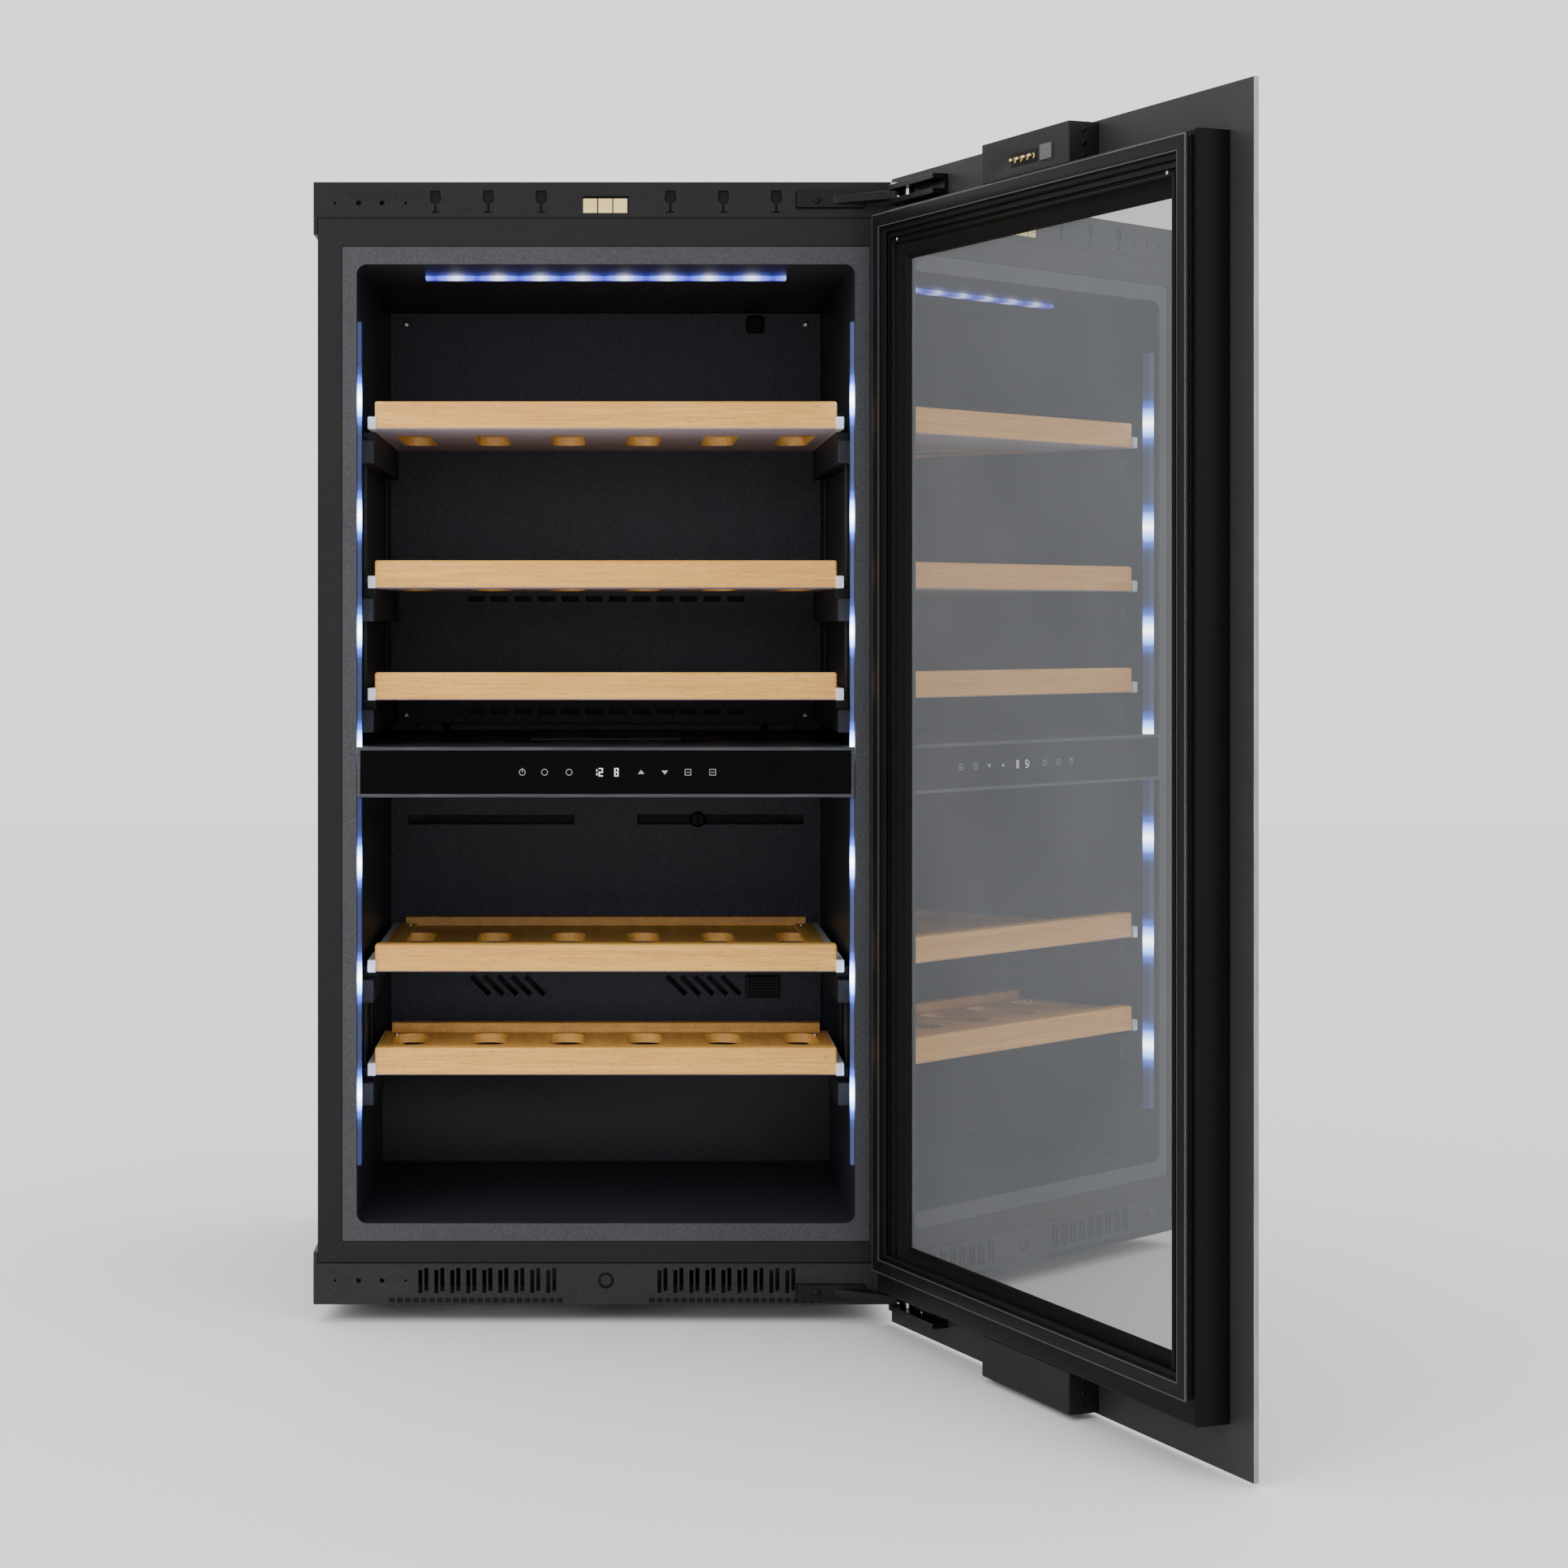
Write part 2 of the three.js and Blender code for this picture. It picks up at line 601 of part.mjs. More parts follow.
// Control bar across the front of the divider
function buildControlBar() {
  const glassBottom = level.dividerBottom + GLASS_MARGIN;
  const glassTop = level.dividerTop - GLASS_MARGIN;
  const bodyFloor = level.dividerBottom + LINER_WALL + FIT;
  const bodyTop = level.dividerTop - LINER_WALL - FIT;
  const bodyEnd = fitHalf - LAMP_PROUD - 2 * FIT;
  const seatDepth = GLASS_THICKNESS + FIT;
  const boardMiddle = (glassBottom + glassTop) / 2;
  const boardBottom = boardMiddle - BOARD_HEIGHT / 2;
  const boardTop = boardMiddle + BOARD_HEIGHT / 2;
  const boardBack = seatDepth + 4 * BOARD_THICKNESS;
  const housing = cut(
    join(
      centredBox(fitHalf, 0, BAR_FLANGE, level.dividerBottom, level.dividerTop),
      centredBox(bodyEnd, BAR_FLANGE / 2, BAR_FLANGE + BAR_BODY_DEPTH, bodyFloor, bodyTop),
    ),
    centredBox(fitHalf - GLASS_MARGIN, -1, seatDepth, glassBottom, glassTop),
    centredBox(BOARD_WIDTH / 2 + FIT, 0, boardBack + FIT, boardBottom - FIT, boardTop + FIT),
  );
  addPiece(cabinet, "control_housing", housing, finishes.zincSteel);

  const glassHalf = fitHalf - GLASS_MARGIN - FIT;
  const glass = centredBox(glassHalf, FIT, seatDepth - FIT, glassBottom + FIT, glassTop - FIT);
  addPiece(cabinet, "control_glass", glass, finishes.barGlass);

  const board = centredBox(BOARD_WIDTH / 2, boardBack - BOARD_THICKNESS, boardBack, boardBottom, boardTop);
  addPiece(cabinet, "control_board", board, finishes.circuit);
}

function buildLamps() {
  const z0 = level.floor + LAMP_END_GAP;
  const z1 = level.ceiling - LAMP_END_GAP;
  for (const [name, side] of [["left", -1], ["right", 1]]) {
    const wall = side * fitHalf;
    const face = side * (fitHalf - LAMP_PROUD + FIT);
    const chamfer = side * 3;
    const section = outline(
      [wall, LAMP_SETBACK],
      [wall, LAMP_SETBACK + LAMP_WIDTH],
      [face, LAMP_SETBACK + LAMP_WIDTH],
      [face, LAMP_SETBACK + Math.abs(chamfer)],
      [face + chamfer, LAMP_SETBACK],
    );
    addPiece(cabinet, `lamp_${name}`, prism(section, "plan", z0, z1), finishes.lampLens);
  }
  const ceilingLamp = centredBox(
    CEILING_LAMP_WIDTH / 2,
    CEILING_LAMP_SETBACK,
    CEILING_LAMP_SETBACK + CEILING_LAMP_DEPTH,
    level.ceiling - FIT - CEILING_LAMP_DEPTH / 3,
    level.ceiling - FIT,
  );
  addPiece(cabinet, "ceiling_lamp", ceilingLamp, finishes.lampLens);
}

// A fan wheel turning about Y: a hub with flat pitched blades.
function fanWheel() {
  const hub = rod(FAN_HUB, "y", 0, FAN_DEPTH, 0, 0, 20);
  const blades = [];
  for (let i = 0; i < FAN_BLADES; i += 1) {
    const blade = new THREE.BoxGeometry(FAN_RADIUS - FAN_HUB + 4, 1.6, FAN_DEPTH * 1.2);
    blade.rotateX(Math.PI / 4);
    blade.translate((FAN_RADIUS + FAN_HUB - 4) / 2, FAN_DEPTH / 2, 0);
    blade.rotateY((i / FAN_BLADES) * Math.PI * 2);
    blades.push(blade);
  }
  return join(hub, ...blades);
}

function addFan(name, x, y, z) {
  const fan = addPiece(cabinet, name, fanWheel(), finishes.trimPlastic);
  fan.position.set(x, y, z);
}

// Air duct panels that make the visible back wall of each zone, with the evaporator and fan behind
function buildDucts() {
  const ductBack = linerBack - FIT;
  const fanPlane = zoneDepth + DUCT_WALL + FAN_CLEARANCE;
  const evaporatorHalf = zoneHalf - EVAPORATOR_SIDE_GAP;
  const evaporatorFront = fanPlane + 4;
  const holeBack = zoneDepth + DUCT_WALL + 1;

  const ductPanel = (z0, z1, holes) =>
    cut(
      centredBox(fitHalf, zoneDepth, ductBack, z0, z1),
      centredBox(
        fitHalf - DUCT_WALL,
        zoneDepth + DUCT_WALL,
        ductBack + 1,
        z0 + DUCT_WALL,
        z1 - DUCT_WALL,
      ),
      ...holes,
    );

  const outlets = [];
  for (const rise of OUTLET_ROWS) {
    const z = level.dividerTop + rise;
    for (let i = 0; i < OUTLET_COUNT; i += 1) {
      const x0 = (i - (OUTLET_COUNT - 1) / 2) * OUTLET_PITCH - OUTLET_WIDTH / 2;
      outlets.push(box(x0, x0 + OUTLET_WIDTH, zoneDepth - 1, holeBack, z, z + OUTLET_HEIGHT));
    }
  }
  const upperPanel = ductPanel(level.dividerTop + FIT, level.ceiling - FIT, outlets);
  addPiece(cabinet, "upper_duct", upperPanel, finishes.linerPlastic);

  const returns = [];
  const returnTop = level.dividerBottom - RETURN_DROP;
  for (const side of [-1, 1]) {
    const far = zoneHalf - RETURN_SIDE_GAP;
    const [x0, x1] = side > 0 ? [RETURN_NEAR, far] : [-far, -RETURN_NEAR];
    returns.push(box(x0, x1, zoneDepth - 1, holeBack, returnTop - RETURN_HEIGHT, returnTop));
    for (let i = 0; i < LOUVRE_COUNT; i += 1) {
      const [across, along] = [LOUVRE_WIDTH / 2, LOUVRE_LENGTH / 2];
      const louvre = box(-across, across, zoneDepth - 1, holeBack, -along, along);
      louvre.rotateY(-Math.PI / 4);
      louvre.translate(side * (LOUVRE_START + i * LOUVRE_PITCH), 0, level.step + LOUVRE_RISE);
      returns.push(louvre);
    }
  }
  const lowerPanel = ductPanel(level.step + FIT, level.dividerBottom - FIT, returns);
  addPiece(cabinet, "lower_duct", lowerPanel, finishes.linerPlastic);

  const upperFan = level.dividerTop + UPPER_FAN_RISE;
  const lowerFan = level.step + LOWER_FAN_RISE;
  addFan("upper_fan", 0, fanPlane, upperFan);
  addFan("lower_fan", 0, fanPlane, lowerFan);
  const evaporators = [
    ["upper_evaporator", upperFan, level.ceiling],
    ["lower_evaporator", lowerFan, level.dividerBottom],
  ];
  for (const [name, fanCentre, zoneTop] of evaporators) {
    const plate = centredBox(
      evaporatorHalf,
      evaporatorFront,
      evaporatorFront + EVAPORATOR_THICKNESS,
      fanCentre + FAN_RADIUS + EVAPORATOR_FAN_GAP,
      zoneTop - EVAPORATOR_TOP_GAP,
    );
    addPiece(cabinet, name, plate, finishes.zincSteel);
  }
}

// Compressor can, and the drip tray over it
function buildCompressor(middleY, floor) {
  const shoulder = COMPRESSOR_HEIGHT * 0.6;
  const dome = new THREE.Shape();
  dome.moveTo(0, 0);
  dome.lineTo(COMPRESSOR_RADIUS, 0);
  dome.lineTo(COMPRESSOR_RADIUS, shoulder);
  dome.quadraticCurveTo(COMPRESSOR_RADIUS, COMPRESSOR_HEIGHT, 0, COMPRESSOR_HEIGHT);
  const can = new THREE.LatheGeometry(dome.getPoints(5), 24).rotateX(Math.PI / 2);
  const compressor = addPiece(cabinet, "compressor", can, finishes.compressorPaint);
  const x = -(zoneHalf + COMPRESSOR_RADIUS) / 2;
  compressor.position.set(x, middleY, floor);

  const half = COMPRESSOR_RADIUS + TRAY_MARGIN;
  const inside = half - TRAY_WALL;
  const z0 = floor + COMPRESSOR_HEIGHT + TRAY_GAP;
  const z1 = z0 + TRAY_HEIGHT;
  const tray = cut(
    box(x - half, x + half, middleY - half, middleY + half, z0, z1),
    box(x - inside, x + inside, middleY - inside, middleY + inside, z0 + TRAY_WALL, z1 + 1),
  );
  addPiece(cabinet, "drip_tray", tray, finishes.trimPlastic);
}

function buildCondenser(floor) {
  const half = CONDENSER_SIZE / 2;
  const x = zoneHalf / 2;
  const top = floor + CONDENSER_SIZE;
  const y0 = roomFront + CONDENSER_FRONT_GAP;
  const y1 = y0 + CONDENSER_DEPTH;
  const gaps = [];
  for (let x0 = x - half + FIN_PITCH; x0 < x + half - FIN_PITCH / 3; x0 += FIN_PITCH) {
    gaps.push(box(x0, x0 + FIN_PITCH / 2, y0 - 1, y1 - FIN_BACKING, floor + FIN_PITCH, top + 1));
  }
  const block = box(x - half, x + half, y0, y1, floor, top);
  addPiece(cabinet, "condenser", cut(block, ...gaps), finishes.zincSteel);
  addFan("condenser_fan", x, y1 + FAN_CLEARANCE + 5, floor + half);
}

// Compressor room at the lower back
function buildCompressorRoom() {
  const floor = BASE_HEIGHT + FIT;
  buildCompressor((roomFront + backInside) / 2, floor);
  buildCondenser(floor);

  const half = INLET_WIDTH / 2;
  const inside = half - INLET_WALL;
  const z0 = floor + INLET_RISE;
  const z1 = z0 + INLET_HEIGHT;
  const inlet = cut(
    box(-half, half, backInside - INLET_DEPTH, backInside, z0, z1),
    box(-inside, inside, backInside - INLET_SOCKET, backInside + 1, z0 + INLET_WALL, z1 - INLET_WALL),
  );
  addPiece(cabinet, "power_inlet", inlet, finishes.trimPlastic);
}

// Side racks: one fixed rail for each shelf, joined by two uprights
function buildRack(name, side, heights) {
  const wall = fitHalf;
  const front = SHELF_SETBACK + FRONT_BOARD_THICKNESS;
  const place = (inner, outer, y0, y1, z0, z1) => {
    const [a, b] = [side * inner, side * outer];
    return box(Math.min(a, b), Math.max(a, b), y0, y1, z0, z1);
  };
  const parts = [];
  for (const [z, depth] of heights) {
    const back = SHELF_SETBACK + depth - 2;
    const rail = place(wall - RAIL_WIDTH, wall, front, back, z - RAIL_DROP - RAIL_HEIGHT, z - RAIL_DROP);
    const ledge = place(wall - RAIL_WIDTH, wall, front + 30, back, z - RAIL_DROP - 1, z - FIT);
    parts.push(rail, ledge);
  }
  const z0 = Math.min(...heights.map(([z]) => z)) - RAIL_DROP - 1;
  const z1 = Math.max(...heights.map(([z]) => z)) - RAIL_DROP - 1;
  const reach = Math.min(...heights.map(([, depth]) => depth));
  for (const y of [front + 40, SHELF_SETBACK + reach - UPRIGHT_WIDTH - 10]) {
    parts.push(place(wall - UPRIGHT_THICKNESS, wall, y, y + UPRIGHT_WIDTH, z0, z1));
  }
  addPiece(cabinet, name, join(...parts), finishes.linerPlastic);
}

// One bottle shelf: a front board, and a sliding tray with its windows, back board and slides
function buildShelf(number, z, depth, trayRise, windowFront, windowBack) {
  const front = SHELF_SETBACK;
  const back = front + depth;
  const boardBack = front + FRONT_BOARD_THICKNESS;
  const board = centredBox(boardHalf - FIT, front, boardBack, z, z + FRONT_BOARD_HEIGHT);
  addPiece(cabinet, `shelf_${number}_front_board`, board, finishes.beech);

  const trayBottom = z + trayRise;
  const trayTop = trayBottom + TRAY_THICKNESS;
  const trayHalf = boardHalf - TRAY_INSET;
  const backBoard = centredBox(
    trayHalf,
    back - BACK_BOARD_THICKNESS,
    back,
    trayBottom,
    trayBottom + BACK_BOARD_HEIGHT,
  );
  const slides = [-1, 1].map((side) => {
    const [a, b] = [side * boardHalf, side * (boardHalf + SLIDE_WIDTH)];
    return box(Math.min(a, b), Math.max(a, b), front + 1, back - 4, z, z + SLIDE_HEIGHT);
  });
  const bearers = [-1, 1].map((side) => {
    const [a, b] = [side * (trayHalf - 12), side * (boardHalf + 1)];
    const top = Math.max(z + SLIDE_HEIGHT, trayTop);
    return box(Math.min(a, b), Math.max(a, b), boardBack + FIT, back - 4, z, top);
  });
  const windows = [];
  const count = Math.floor((2 * trayHalf - WINDOW_WIDTH) / WINDOW_PITCH) + 1;
  for (let i = 0; i < count; i += 1) {
    const x = (i - (count - 1) / 2) * WINDOW_PITCH;
    const y0 = front + windowFront;
    windows.push(windowCutter(x, y0, back - windowBack, trayBottom - 1, trayTop + 1));
  }
  const base = centredBox(trayHalf, boardBack + FIT, back, trayBottom, trayTop);
  const tray = cut(join(base, backBoard, ...bearers, ...slides), ...windows);
  addPiece(cabinet, `shelf_${number}_tray`, tray, finishes.beech);
}

// A long window with round ends.
function windowCutter(x, y0, y1, z0, z1) {
  const radius = WINDOW_WIDTH / 2;
  const end = Math.min(radius, (y1 - y0) / 2.2);
  const shape = new THREE.Shape();
  shape.moveTo(x - radius, y0 + end);
  shape.quadraticCurveTo(x - radius, y0, x, y0);
  shape.quadraticCurveTo(x + radius, y0, x + radius, y0 + end);
  shape.lineTo(x + radius, y1 - end);
  shape.quadraticCurveTo(x + radius, y1, x, y1);
  shape.quadraticCurveTo(x - radius, y1, x - radius, y1 - end);
  return prism(shape, "plan", z0, z1, 4);
}

function buildShelves() {
  const fullDepth = shelfBack - SHELF_SETBACK;
  const upper = UPPER_SHELF_HEIGHTS.map((height) => [level.dividerTop + height, fullDepth]);
  const lower = LOWER_SHELF_HEIGHTS.map((height, i) => {
    return [level.floor + height, i === 0 ? SHORT_SHELF_DEPTH : fullDepth];
  });
  for (const [name, side] of [["left", -1], ["right", 1]]) {
    buildRack(`rack_upper_${name}`, side, upper);
    buildRack(`rack_lower_${name}`, side, lower);
  }
  upper.reverse().forEach(([z, depth], i) => buildShelf(i + 1, z, depth, 0, WINDOW_FRONT, WINDOW_BACK));
  buildShelf(4, lower[1][0], lower[1][1], 0, WINDOW_FRONT, WINDOW_BACK);
  buildShelf(5, lower[0][0], lower[0][1], SHORT_TRAY_RISE, SHORT_WINDOW_FRONT, SHORT_WINDOW_BACK);
}

// Hinges: a tongue with a riveted pin on the cabinet, and a fork on the door that turns on the pin
const door = new THREE.Group();
const closedDoor = new THREE.Group();
door.position.set(axisX, axisY, 0);
door.rotation.z = (OPEN_ANGLE * Math.PI) / 180;
closedDoor.position.set(-axisX, -axisY, 0);
door.add(closedDoor);
cabinet.add(door);

function buildHinge(name, centre) {
  const tongueTop = centre + TONGUE / 2;
  const tongueBottom = centre - TONGUE / 2;
  const blockHalf = TONGUE / 2 + HINGE_POCKET_MARGIN - FIT;
  const block = box(
    pocketStart + FIT,
    pocketEnd - FIT,
    -HINGE_BLOCK_PROUD,
    TRIM_DEPTH - TRIM_FACE - FIT,
    centre - blockHalf,
    centre + blockHalf,
  );
  const arm = prism(
    outline(
      [pocketStart + 30, -FIT],
      [axisX - KNUCKLE_RADIUS * 0.7, axisY - KNUCKLE_RADIUS * 0.7],
      [axisX + KNUCKLE_RADIUS * 0.7, axisY + KNUCKLE_RADIUS * 0.7],
      [pocketEnd - 2, -FIT],
    ),
    "plan",
    tongueBottom,
    tongueTop,
  );
  const knuckle = rod(KNUCKLE_RADIUS, "z", tongueBottom, tongueTop, axisX, axisY, 24);
  const forkTop = tongueTop + FIT + FORK;
  const forkBottom = tongueBottom - FIT - FORK;
  const bore = rod(HINGE_PIN_RADIUS + FIT, "z", forkBottom - 1, forkTop + 1, axisX, axisY, 24);
  const pin = rod(HINGE_PIN_RADIUS, "z", forkBottom - 1, forkTop + 1, axisX, axisY, 24);
  addPiece(cabinet, `${name}_hinge_base`, join(block, arm, knuckle, pin), finishes.blackSteel);

  const webFace = panelFace + FIT;
  const forkOutline = outline(
    [axisX - ARM_LENGTH, webFace],
    [axisX - KNUCKLE_RADIUS, webFace],
    [axisX + KNUCKLE_RADIUS, axisY],
    [axisX, axisY + KNUCKLE_RADIUS],
    [axisX - ARM_LENGTH, axisY + KNUCKLE_RADIUS],
  );
  const web = box(
    axisX - ARM_LENGTH,
    axisX - KNUCKLE_RADIUS - 3,
    webFace,
    webFace + ARM_WEB,
    forkBottom,
    forkTop,
  );
  const arms = join(
    prism(forkOutline, "plan", tongueTop + FIT, forkTop),
    prism(forkOutline, "plan", forkBottom, tongueBottom - FIT),
    web,
  );
  addPiece(closedDoor, `${name}_hinge_arm`, cut(arms, bore), finishes.blackSteel);
}

// Door, drawn closed
function buildDoor() {
  const panel = box(
    -panelHalf,
    panelHalf,
    panelFace - PANEL_THICKNESS,
    panelFace,
    level.panelBottom,
    level.panelTop,
  );
  addPiece(closedDoor, "door_panel", panel, finishes.doorGlass);

  const frameBack = panelFace + FIT;
  const frameFace = frameBack + FRAME_THICKNESS;
  const unitFront = frameBack + UNIT_BACKING;
  const unitBack = unitFront + UNIT_THICKNESS;
  const windowHalf = frameHalf - FRAME_SIDE_WIDTH;
  const windowBottom = level.frameBottom + FRAME_END_WIDTH;
  const windowTop = level.frameTop - FRAME_END_WIDTH;
  const rebateHalf = windowHalf + FRAME_REBATE;
  const rebateBottom = windowBottom - FRAME_REBATE;
  const rebateTop = windowTop + FRAME_REBATE;
  const ring = (outerInset, innerInset, y0, y1) =>
    cut(
      centredBox(frameHalf - outerInset, y0, y1, level.frameBottom + outerInset, level.frameTop - outerInset),
      centredBox(
        frameHalf - innerInset,
        y0 - 1,
        y1 + 1,
        level.frameBottom + innerInset,
        level.frameTop - innerInset,
      ),
    );
  const frame = cut(
    centredBox(frameHalf, frameBack, frameFace, level.frameBottom, level.frameTop),
    centredBox(windowHalf, frameBack - 1, frameFace + 1, windowBottom, windowTop),
    centredBox(rebateHalf, unitFront - FIT, unitBack + FIT, rebateBottom, rebateTop),
    ring(FRAME_WALL, FRAME_WALL + FRAME_CAVITY, frameBack - 1, frameFace - FRAME_WALL),
  );
  addPiece(closedDoor, "door_frame", frame, finishes.framePlastic);

  const unit = centredBox(rebateHalf - FIT, unitFront, unitBack, rebateBottom + FIT, rebateTop - FIT);
  addPiece(closedDoor, "glass_unit", unit, finishes.doorGlass);

  const gasketHalf = frameHalf - GASKET_INSET;
  const gasketBottom = level.frameBottom + GASKET_BOTTOM_INSET;
  const gasketTop = level.frameTop - GASKET_INSET;
  const gasketFace = frameFace + FIT + GASKET_THICKNESS;
  const gasket = cut(
    centredBox(gasketHalf, frameFace + FIT, gasketFace, gasketBottom, gasketTop),
    centredBox(
      gasketHalf - GASKET_WIDTH,
      frameFace,
      gasketFace + 1,
      gasketBottom + GASKET_WIDTH,
      gasketTop - GASKET_WIDTH,
    ),
  );
  addPiece(closedDoor, "door_gasket", gasket, finishes.gasketRubber);

  const blockFace = frameBack + BLOCK_THICKNESS;
  const blockTop = level.panelTop - 2;
  const pinHeight = level.flangeTop + CONTACT_RISE + CONTACT_HEIGHT / 2;
  const plateHalf = (PIN_PITCH * PIN_COUNT) / 2;
  const plateHeight = CONTACT_HEIGHT / 2;
  const seat = centredBox(
    plateHalf + FIT,
    blockFace - PIN_PLATE_THICKNESS - FIT,
    blockFace + 1,
    pinHeight - plateHeight / 2 - FIT,
    pinHeight + plateHeight / 2 + FIT,
  );
  const topBlock = cut(
    centredBox(BLOCK_WIDTH / 2, frameBack, blockFace, level.frameTop + FIT, blockTop),
    seat,
  );
  addPiece(closedDoor, "door_contact_block", topBlock, finishes.trimPlastic);

  const pins = [];
  for (let i = 0; i < PIN_COUNT; i += 1) {
    const x = (i - (PIN_COUNT - 1) / 2) * PIN_PITCH;
    pins.push(rod(PIN_RADIUS, "y", blockFace - 1, blockFace + PIN_LENGTH, x, pinHeight, 12));
  }
  const pinPlate = centredBox(
    plateHalf,
    blockFace - PIN_PLATE_THICKNESS,
    blockFace,
    pinHeight - plateHeight / 2,
    pinHeight + plateHeight / 2,
  );
  addPiece(closedDoor, "contact_pins", join(pinPlate, ...pins), finishes.gold);

  const lowerBlock = centredBox(
    BLOCK_WIDTH / 2,
    frameBack,
    blockFace,
    level.panelBottom + 2,
    level.frameBottom - FIT,
  );
  addPiece(closedDoor, "door_lower_block", lowerBlock, finishes.trimPlastic);
}

buildCase();
buildInsulation();
buildLiner();
buildTopTrim();
buildBottomGrille();
buildControlBar();
buildLamps();
buildDucts();
buildCompressorRoom();
buildShelves();
buildHinge("upper", level.upperHinge);
buildHinge("lower", level.lowerHinge);
buildDoor();

export default model;
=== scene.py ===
"""A built-in wine cooler with its door open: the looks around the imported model.
The frame is in metres, X right, Y back, Z up. Shapes are given in millimetres and turned to metres by MM."""
import json
import math

import bmesh
import bpy
from mathutils import Matrix, Vector


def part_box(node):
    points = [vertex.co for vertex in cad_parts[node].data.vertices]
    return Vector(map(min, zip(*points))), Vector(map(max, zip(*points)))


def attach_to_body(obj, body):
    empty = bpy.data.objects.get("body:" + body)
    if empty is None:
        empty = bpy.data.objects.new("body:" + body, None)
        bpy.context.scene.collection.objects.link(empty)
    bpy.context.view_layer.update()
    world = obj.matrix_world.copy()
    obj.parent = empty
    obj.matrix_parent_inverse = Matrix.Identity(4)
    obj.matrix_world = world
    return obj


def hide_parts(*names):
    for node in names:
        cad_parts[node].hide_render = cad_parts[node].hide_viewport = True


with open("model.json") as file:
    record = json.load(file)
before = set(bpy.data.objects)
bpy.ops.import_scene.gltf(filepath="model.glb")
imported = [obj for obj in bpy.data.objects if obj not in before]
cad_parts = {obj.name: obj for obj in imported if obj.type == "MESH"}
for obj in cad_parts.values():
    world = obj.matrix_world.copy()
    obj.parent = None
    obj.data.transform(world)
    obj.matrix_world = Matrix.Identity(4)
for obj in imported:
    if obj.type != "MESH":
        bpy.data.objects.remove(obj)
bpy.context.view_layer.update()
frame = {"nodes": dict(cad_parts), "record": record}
MM = 0.001

# Places taken from the frame
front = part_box("top_trim")[0].y
behaviour = frame["record"]["behaviour"]
door_joint = next(joint for joint in behaviour["joints"] if joint["name"] == "door_swing")
hinge_axis = Vector(door_joint["pos_m"])
open_angle = -math.radians(door_joint["range_deg"][0])
# Takes a piece drawn with the door closed to where the open door holds it
OPEN_DOOR = (
    Matrix.Translation(hinge_axis) @ Matrix.Rotation(open_angle, 4, "Z") @ Matrix.Translation(-hinge_axis)
)
body_of = {node: body for body, nodes in behaviour["bodies"].items() for node in nodes}

# The main places, in millimetres
F = front / MM  # the front plane's Y
BACK_WALL = F + 457.4  # the duct panels' faces
BACK_SHEET = F + 545  # the back panel's outer face
FLANGE_HALF = 273.6  # half the flange's width
SLIDE_X = 221.9  # where a tray ends and its slides begin
DOOR_HALF, DOOR_LOW, DOOR_HIGH = 266.0, 42.0, 1050.0  # the door frame's outer edges
FORWARD, BACKWARD, UP, LEFTWARD = (0, -1, 0), (0, 1, 0), (0, 0, 1), (-1, 0, 0)

# ---------------------------------------------------------------- materials

NOISE = "ShaderNodeTexNoise"
CLOUD_SHARE = 0.25  # how much a coating's cloudiness counts beside its grain
GLOSS_SPREAD = 0.05  # how far its roughness wanders
SCRATCH_MM = 0.8  # spacing of the scratches on brushed metal
SPANGLE_MM = 11  # width of the crystals on galvanised sheet


def srgb(code):
    """An sRGB hex colour as linear red, green, blue and alpha."""
    parts = [int(code[i : i + 2], 16) / 255 for i in (1, 3, 5)]
    linear = [c / 12.92 if c <= 0.04045 else ((c + 0.055) / 1.055) ** 2.4 for c in parts]
    return (*linear, 1.0)


def add_node(tree, kind, inputs=None, stops=None, **settings):
    """Adds a node with its settings, links or fills its inputs, and gives back its outputs."""
    made = tree.nodes.new(kind)
    for key, value in settings.items():
        setattr(made, key, value)
    for key, value in (inputs or {}).items():
        if isinstance(value, bpy.types.NodeSocket):
            tree.links.new(value, made.inputs[key])
        else:
            made.inputs[key].default_value = value
    if stops:
        elements = made.color_ramp.elements
        elements[0].position, elements[0].color = stops[0][0], srgb(stops[0][1])
        elements[1].position, elements[1].color = stops[-1][0], srgb(stops[-1][1])
        for place, code in stops[1:-1]:
            elements.new(place).color = srgb(code)
    return made.outputs


def new_material(name, slot, **values):
    """A material, its tree, its shader, and the Object coordinates that its patterns read."""
    material = bpy.data.materials.new(name)
    material.use_nodes = True
    tree = material.node_tree
    shader = tree.nodes["Principled BSDF"]
    for key, value in values.items():
        shader.inputs[key.replace("_", " ")].default_value = value
    return material, tree, shader, add_node(tree, "ShaderNodeTexCoord")["Object"]


def finish_with(tree, shader, colour, roughness, height=None, depth_mm=0.0):
    """Wires a pattern to the shader's colour, gloss and relief."""
    tree.links.new(colour, shader.inputs["Base Color"])
    tree.links.new(roughness, shader.inputs["Roughness"])
    if height:
        relief = {"Height": height, "Distance": depth_mm * MM, "Strength": 0.6}
        tree.links.new(add_node(tree, "ShaderNodeBump", relief)["Normal"], shader.inputs["Normal"])


